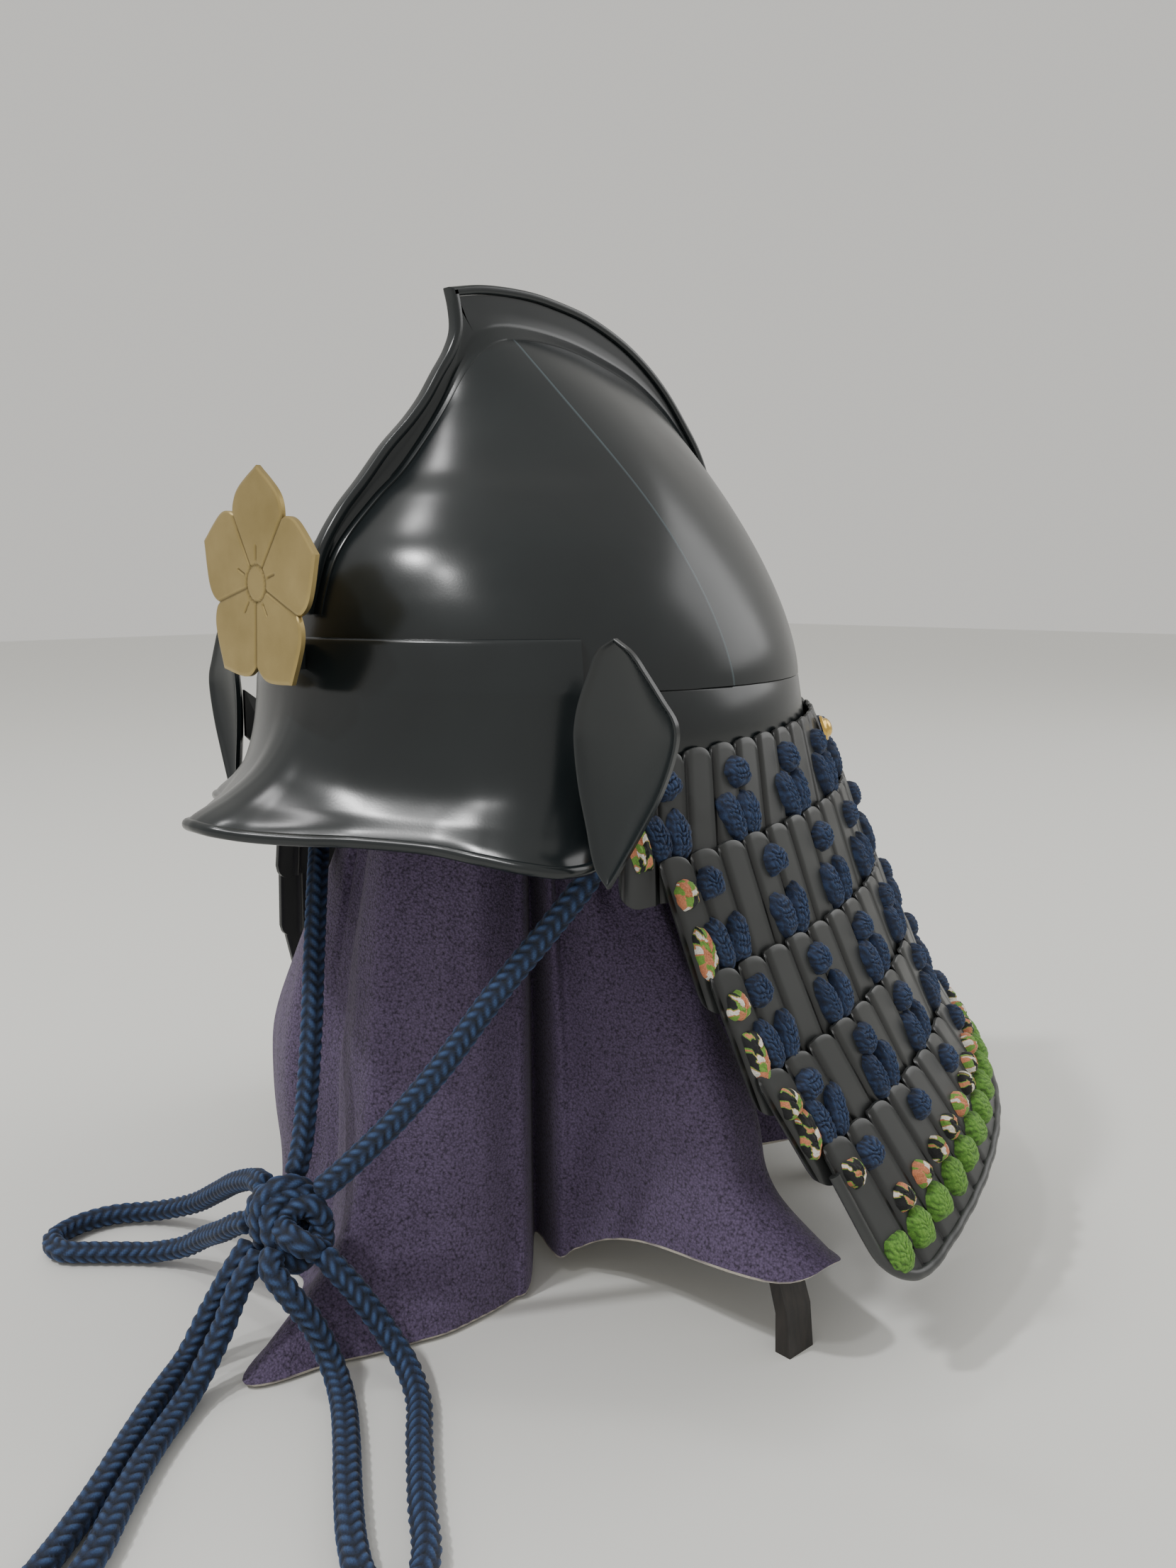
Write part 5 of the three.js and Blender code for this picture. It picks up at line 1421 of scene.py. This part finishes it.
@dataclass
class StandCloth:
    """The square of crepe laid over the stand: it falls in folds that open towards the hem."""

    centre_y: float = -26.0
    top_z: float = 334.35
    top_radius: float = 56.0
    thickness: float = 1.2
    lining_drop: float = 1.3
    cut_side_m: float = 0.56
    turns: int = 420
    rows: int = 112
    tiers: tuple[float, ...] = (310.0, 262.0, 190.0, 95.0)
    nodes: tuple[str, ...] = (
        "stand_cloth_cap", "stand_cloth_front_left", "stand_cloth_front_right", "stand_cloth_left",
        "stand_cloth_right", "stand_cloth_back_left", "stand_cloth_back_right")
    folds: np.ndarray = field(default_factory=lambda: np.array([
        (-105, 78, 92, 112, 1), (-99, 72, 88, 112, 1), (-93, 78, 94, 116, 1), (-85, 80, 96, 132, 1),
        (-78, 78, 97, 169, 1), (-71, 74, 90, 142, 1), (-61, 72, 88, 118, 1), (-51, 70, 80, 96, 1),
        (-44, 66, 72, 82, 1), (-39.5, 62, 66, 74, 2), (-36, 36, 36, 40, 4), (-32, 36, 36, 40, 6),
        (-28.5, 57, 61, 64, 8), (-22, 58, 64, 66, 12), (-13, 62, 84, 100, 28), (-6, 68, 122, 160, 34),
        (0, 70, 126, 173, 39), (6, 68, 122, 160, 34), (14, 62, 84, 100, 30), (30, 56, 58, 62, 26),
        (44, 60, 76, 90, 28), (54, 68, 125, 162, 34), (60, 70, 126, 166, 38), (66, 68, 125, 162, 34),
        (78, 62, 80, 92, 30), (90, 58, 64, 70, 28), (102, 62, 80, 92, 30), (114, 68, 125, 162, 34),
        (120, 70, 126, 166, 38), (126, 68, 125, 162, 34), (136, 60, 76, 90, 28), (150, 56, 58, 62, 26),
        (166, 62, 84, 100, 30), (174, 68, 122, 160, 34), (180, 70, 126, 173, 39), (186, 68, 122, 160, 34),
        (193, 62, 84, 100, 28), (202, 56, 66, 70, 10), (216, 64, 98, 98, 2), (227, 72, 110, 112, 1),
        (237, 78, 110, 110, 1), (247, 76, 104, 108, 1)], float))

    def surface(self, turns: np.ndarray, downs: np.ndarray) -> np.ndarray:
        """Radius and height at each turn, eased through the fold table from the head to the hem.

        Args:
            turns: Turns round the stand, in degrees.
            downs: Shares of the way to the hem.

        Returns:
            The grid, a row for each share.
        """
        full_turn = [360, 0, 0, 0, 0]
        table = np.vstack([self.folds[-3:] - full_turn, self.folds, self.folds[:3] + full_turn])
        upper, middle, hem, low = (ease_table(table, k, turns) for k in (1, 2, 3, 4))
        one = np.ones_like(turns)
        r0 = self.top_radius
        brow, waist, knee, shin = self.tiers
        radii = np.stack([0 * one, 0.3 * r0 * one, 0.6 * r0 * one, 0.94 * r0 * one, r0 * one, r0 * one, upper,
                          middle, middle + (hem - middle) * 0.3, hem])
        heights = np.stack([self.top_z * one, self.top_z * one, self.top_z * one, (self.top_z - 5.5) * one,
                            brow * one, waist * one, knee * one, shin * one, shin + (low - shin) * 0.68,
                            low])
        keys = np.array([0.0, 0.05, 0.1, 0.16, 0.2, 0.3, 0.48, 0.73, 0.9, 1.0])
        profile = np.stack([radii, heights], axis=-1).reshape(len(keys), -1)
        table2 = np.column_stack([keys, profile])
        read = np.stack([ease_table(table2, k + 1, downs) for k in range(profile.shape[1])], axis=1)
        read = read.reshape(len(downs), len(turns), 2)
        angle = np.radians(turns)[None, :]
        return np.stack([read[..., 0] * np.cos(angle), self.centre_y + read[..., 0] * np.sin(angle),
                         np.maximum(read[..., 1], 0.6)], axis=-1)

    def make(self, finish: bpy.types.Material) -> bpy.types.Object:
        """Args:
            finish: The cloth's material.

        Returns:
            The cloth.
        """
        turns = np.linspace(-105, 255, self.turns, endpoint=False)
        downs = np.linspace(0, 1, self.rows)
        grid = self.surface(turns, downs)
        t, d = np.meshgrid(np.radians(turns), downs)
        crease = (np.sin(t * 23 + 5 * d) * 0.6 + np.sin(t * 41 - 9 * d + 1.3) * 0.35
                  + np.sin(t * 9 + d * 31) * 0.5 * np.sin(d * 19)) * np.clip((d - 0.3) * 3, 0, 1)
        out = unit((grid - np.array([0, self.centre_y, 0])) * np.array([1, 1, 0]))
        hidden = 1 - np.clip(bump_at(np.degrees(t), -80.0, 34.0) + bump_at(np.degrees(t), 246.0, 22.0), 0, 1)
        gather = 15.0 * bump_at(d, 0.47, 0.17) * hidden * (0.5 - 0.5 * np.cos(19 * t + 2 * np.sin(3 * t)))
        grid = grid + out * (crease - gather)[..., None]
        uv = np.stack([t * 90.0, d * 420.0], axis=-1)
        ringed = np.concatenate([grid[:, -1:], grid, grid[:, :1]], axis=1)
        normal = grid_normals(ringed)[:, 1:-1]
        normal = normal * np.sign(np.sum(normal[45:] * out[45:], axis=(0, 1, 2)))
        normal[:6] = (0.0, 0.0, 1.0)
        inner = grid - normal * self.thickness
        inner[-3:] = (grid - out * self.thickness)[-3:]
        inner[..., 2] = np.maximum(inner[..., 2], 0.4)
        grid[-1, :, 2] = np.maximum(grid[-1, :, 2], 0.4) + self.lining_drop
        lining = np.ones(grid.shape[:2])
        draft = MeshDraft("stand_cloth_drape")
        draft.grid(grid, close_columns=True, uv=uv)
        draft.grid(inner, close_columns=True, uv=uv, tone=lining)
        lip = grid[-1] + (inner[-1] - grid[-1]) * 0.05
        draft.grid(np.stack([grid[-1], lip]), close_columns=True)
        draft.grid(np.stack([lip, inner[-1]]), close_columns=True, tone=lining[-2:])
        piece = draft.build(finish, Slot.CLOTH, self.nodes, sharp=60)
        return piece


@dataclass
class ChinCord:
    """The braided chin cord: two strands from the temples, a knot, and its bow."""

    diameter: float = 9.2
    columns: int = 6
    pitch: float = 4.6
    slant: float = 0.9
    sunk: float = 1.15
    relief: float = 1.35
    sides: int = 30
    knot: tuple[float, float, float] = (24.0, -164.0, 52.0)
    knot_radii: tuple[float, float, float] = (24.0, 15.0, 18.0)
    floor: float = 4.9
    routes: dict[str, list[tuple[float, float, float]]] = field(default_factory=lambda: {
        "chin_cord_left": [
            (102.7, -55.4, 242), (102.9, -58, 225), (102, -66, 205), (100, -77, 184), (91, -88, 165),
            (76, -104, 138), (62, -119, 110), (50, -134, 88), (37, -151, 68), (30, -158, 60)],
        "chin_cord_right": [
            (-102.7, -55.4, 242), (-102, -60, 225), (-92, -72, 206), (-68, -90, 190), (-44, -103, 177),
            (-28, -114, 166), (-12.6, -126, 140), (-0.5, -136, 111), (6, -143, 87), (12, -150, 70),
            (17, -157, 61)],
        "bow_side_loop": [
            (16, -168, 48), (-3, -168, 42), (-20, -168, 32), (-40, -166, 21), (-58, -168, 10),
            (-74, -178, 4.9), (-88, -192, 4.9), (-100, -203, 4.9), (-112, -202, 4.9), (-118, -190, 4.9),
            (-116, -173, 4.9), (-104, -158, 6), (-84, -150, 14), (-60, -150, 28), (-36, -153, 42),
            (-14, -156, 52), (-5, -159, 55), (14, -161, 58)],
        "bow_front_loop": [
            (32, -168, 52), (38, -179, 45), (45, -177, 37), (51, -171, 25), (56, -168, 14.5),
            (63, -168.5, 7.6), (74, -173, 5.2), (90, -182, 4.9), (116, -198, 4.9), (134, -208, 4.9),
            (147, -213, 4.9), (156.5, -212, 4.9), (160, -204, 4.9), (153, -195, 4.9), (133, -182, 4.9),
            (108, -165, 4.9), (90, -152.5, 5.4), (76, -147.5, 9.5), (65, -149, 19), (56, -155, 33),
            (48, -161, 44), (34, -163, 53)],
        "tail_left": [
            (14, -166, 50), (14, -180, 36), (11, -190, 20), (13, -201, 7), (22, -214, 4.9), (38, -232, 4.9),
            (58, -253, 4.9), (74, -272, 4.9), (84, -286, 4.9)],
        "tail_right": [
            (25, -168, 50), (26, -184, 36), (27, -194, 20), (31, -206, 8), (40, -219, 4.9), (54, -236, 4.9),
            (69, -251, 4.9), (85, -266, 4.9), (96, -280, 4.9)],
    })

    def path(self, name: str) -> np.ndarray:
        """The route as a smooth line, cut where it meets the knot and kept on the floor.

        Args:
            name: The route's name.

        Returns:
            Evenly spaced points in millimetres.
        """
        line = smooth_line(np.array(self.routes[name], float), 30)
        line[:, 2] = np.maximum(line[:, 2], self.floor)
        away = np.sqrt(np.sum(((line - self.knot) / (np.array(self.knot_radii) - 1.5)) ** 2, axis=1))
        line = line[away > 1.0]
        length = arc_lengths(line)[-1]
        return even_points(line, np.linspace(0, 1, max(int(length / 0.9), 30)))

    def braid(self, draft: MeshDraft, line: np.ndarray, radius: float, cap: bool = True) -> None:
        """Adds a braided tube: columns of slanting strands, leaning left and right in turn.

        The surface is radius - sunk + relief * weave, where weave rises over each strand, by its place
        along the cord and its slant across the column, and falls again between two columns.

        Args:
            draft: The mesh that takes the tube.
            line: Its centre line in millimetres.
            radius: Its outer radius.
            cap: Whether its ends are rounded off.
        """
        around = np.linspace(0, 2 * np.pi, self.sides, endpoint=False)[None, :] + 0.05
        along = arc_lengths(line)[:, None]
        column = around * self.columns / (2 * np.pi)
        across = column % 1.0
        slant = np.where(np.floor(column) % 2 == 0, across - 0.5, 0.5 - across)
        strand = np.abs(np.sin(np.pi * (along / self.pitch + self.slant * slant))) ** 0.6
        weave = strand * (0.35 + 0.65 * np.sin(np.pi * across) ** 0.6)
        height = radius - self.sunk + self.relief * weave
        if cap:
            total = along[-1, 0]
            near = np.clip(np.minimum(along, total - along) / 1.6, 0, 1)
            height = height * np.sqrt(np.clip(1 - (1 - near) ** 2, 0.05, 1))
        side = carried_side(line, (0.3, 0.2, 1.0))
        run = unit(np.gradient(line, axis=0))
        up = np.cross(run, side)
        ring = (np.cos(around)[..., None] * side[:, None] + np.sin(around)[..., None] * up[:, None])
        rings = line[:, None] + height[..., None] * ring
        rings[..., 2] = np.maximum(rings[..., 2], 0.2)
        # Painted shade: the colour darkens in the hollows between strands and lightens on their crowns.
        tone = np.clip(weave ** 2.2, 0, 1)
        capped_tube(draft, rings, tone=np.broadcast_to(tone, height.shape))

    def make_knot(self, finish: bpy.types.Material) -> bpy.types.Object:
        """Builds the knot: turns of the same cord wrapped over one another.

        Args:
            finish: The cord's material.

        Returns:
            The knot.
        """
        draft = MeshDraft("chin_cord_knot")
        centre = np.array(self.knot)
        turn = np.linspace(0, 2 * np.pi, 90)
        wraps = [((-2, 0, 1), (5.5, 9.5, 12.5), 14), ((6, 0, -1), (5.5, 9.0, 12.0), -16),
                 ((-11, 1, 2), (8.5, 7.0, 8.0), 55), ((13, 0, 1), (8.0, 7.0, 8.5), -50)]
        for offset, (wide, deep, tall), lean in wraps:
            a = math.radians(lean)
            local = np.stack([
                wide * 0.35 * np.sin(2 * turn), deep * np.cos(turn), tall * np.sin(turn)], axis=1)
            spun = np.stack([local[:, 0] * math.cos(a) + local[:, 2] * math.sin(a), local[:, 1],
                             -local[:, 0] * math.sin(a) + local[:, 2] * math.cos(a)], axis=1)
            self.braid(draft, centre + np.array(offset) + spun, self.diameter / 2 + 0.2, cap=False)
        return draft.build(finish, Slot.CORD, ["chin_knot"], sharp=70)

    def make(self, finish: bpy.types.Material) -> list[bpy.types.Object]:
        """Args:
            finish: The cord's material.

        Returns:
            The knot and the stretches.
        """
        knot = self.make_knot(finish)
        pieces = [knot]
        for name in self.routes:
            line = self.path(name)
            draft = MeshDraft(f"braided_{name}")
            self.braid(draft, line, self.diameter / 2)
            piece = draft.build(finish, Slot.CORD, [name], sharp=70)
            pieces.append(piece)
        return pieces


@dataclass
class Studio:
    """The camera at the photograph's place, a pale floor and soft lights."""

    place: tuple[float, float, float] = (0.4394, -0.3917, 0.290)
    azimuth: float = 47.0
    pitch: float = 9.0
    roll: float = 0.3
    lens: float = 30.11
    lamps: tuple[tuple[str, tuple[float, float, float], float, float], ...] = (
        ("near_lamp", (-0.35, -1.55, 2.4), 0.16, 28.0), ("second_lamp", (0.28, -1.75, 2.4), 0.16, 9.0),
        ("window", (-0.85, -0.6, 2.4), 0.2, 5.0), ("pale_wall", (1.0, 1.9, 1.5), 1.6, 20.0))
    sky: float = 0.8
    aim: tuple[float, float, float] = (0.0, 0.0, 0.22)
    floor_half: float = 6.0

    def make(self) -> None:
        """Sets the camera, the floor, the lamps and the sky light."""
        scene = bpy.context.scene
        data = bpy.data.cameras.new("camera")
        data.sensor_width = SENSOR_MM
        data.sensor_fit = "AUTO"
        data.lens = self.lens
        data.clip_start, data.clip_end = 0.01, 50.0
        camera = bpy.data.objects.new("camera", data)
        scene.collection.objects.link(camera)
        camera.location = self.place
        camera.rotation_mode = "XYZ"
        camera.rotation_euler = (math.radians(90 - self.pitch), math.radians(self.roll),
                                 math.radians(self.azimuth))
        scene.camera = camera
        self.make_floor()
        for lamp in self.lamps:
            self.area(*lamp)
        world = bpy.data.worlds.new("sky")
        scene.world = world
        world.use_nodes = True
        background = world.node_tree.nodes["Background"]
        background.inputs["Color"].default_value = linear("#f3f1ec")
        background.inputs["Strength"].default_value = self.sky

    def area(self, name: str, place: tuple[float, float, float], size: float, power: float) -> None:
        """Adds a square lamp that looks at the helmet.

        Args:
            name: The lamp's name.
            place: Where it stands, in metres.
            size: Its side in metres.
            power: Its power in watts.
        """
        data = bpy.data.lights.new(name, "AREA")
        data.size, data.energy = size, power
        lamp = bpy.data.objects.new(name, data)
        bpy.context.scene.collection.objects.link(lamp)
        lamp.location = place
        aim = np.array(self.aim) - np.array(place)
        level = math.hypot(aim[0], aim[1])
        lamp.rotation_euler = (math.atan2(level, -aim[2]), 0.0, math.atan2(aim[1], aim[0]) - math.pi / 2)

    def make_floor(self) -> None:
        """Adds the plain pale floor."""
        mesh = bpy.data.meshes.new("floor")
        half = self.floor_half
        mesh.from_pydata([(-half, -half, 0), (half, -half, 0), (half, half, 0), (-half, half, 0)], [],
                         [(0, 1, 2, 3)])
        material, _, shader = start_material("pale_floor")
        shader.inputs["Base Color"].default_value = linear("#e6e6e2")
        shader.inputs["Roughness"].default_value = 0.6
        mesh.materials.append(material)
        floor = bpy.data.objects.new("floor", mesh)
        bpy.context.scene.collection.objects.link(floor)


def dress_cad(finishes: dict[str, bpy.types.Material]) -> None:
    """Gives the CAD nodes that stay in view their finish.

    Args:
        finishes: The material of each node.
    """
    for name, material in finishes.items():
        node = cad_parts[name]
        node.data.materials.clear()
        node.data.materials.append(material)


def main() -> None:
    """Builds the studio and the cords first, then the helmet from the bowl down, and reports each piece."""
    logging.basicConfig(level=logging.INFO, format="%(name)s %(message)s")
    Studio().make()
    palette = Palette()
    ChinCord().make(palette.cord)
    bowl = Bowl()
    bowl.make(palette.shell)
    Ridge(bowl).make(palette.shell)
    Visor(bowl).make(palette.shell)
    NeckBand(bowl).make(palette.shell)
    for name, side in (("left", 1), ("right", -1)):
        Wing(name, side).make(palette.shell)
    guard = NeckGuard(bowl)
    guard.make(palette.lames)
    Lacing(guard).make(palette)
    Crest().make(palette.crest)
    for name, side in (("left", 1), ("right", -1)):
        Boss(guard, name, side).make(palette.boss)
    StandCloth().make(palette.cloth)
    plain = {name: palette.stand for name in (
        "stand_head", "stand_post", *(f"stand_leg_{leg}" for leg in range(1, 5)))}
    shells = {name: palette.shell for name in ("crest_bracket", "wing_strap_left", "wing_strap_right")}
    dress_cad({**plain, **shells})


if __name__ == "__main__":
    main()
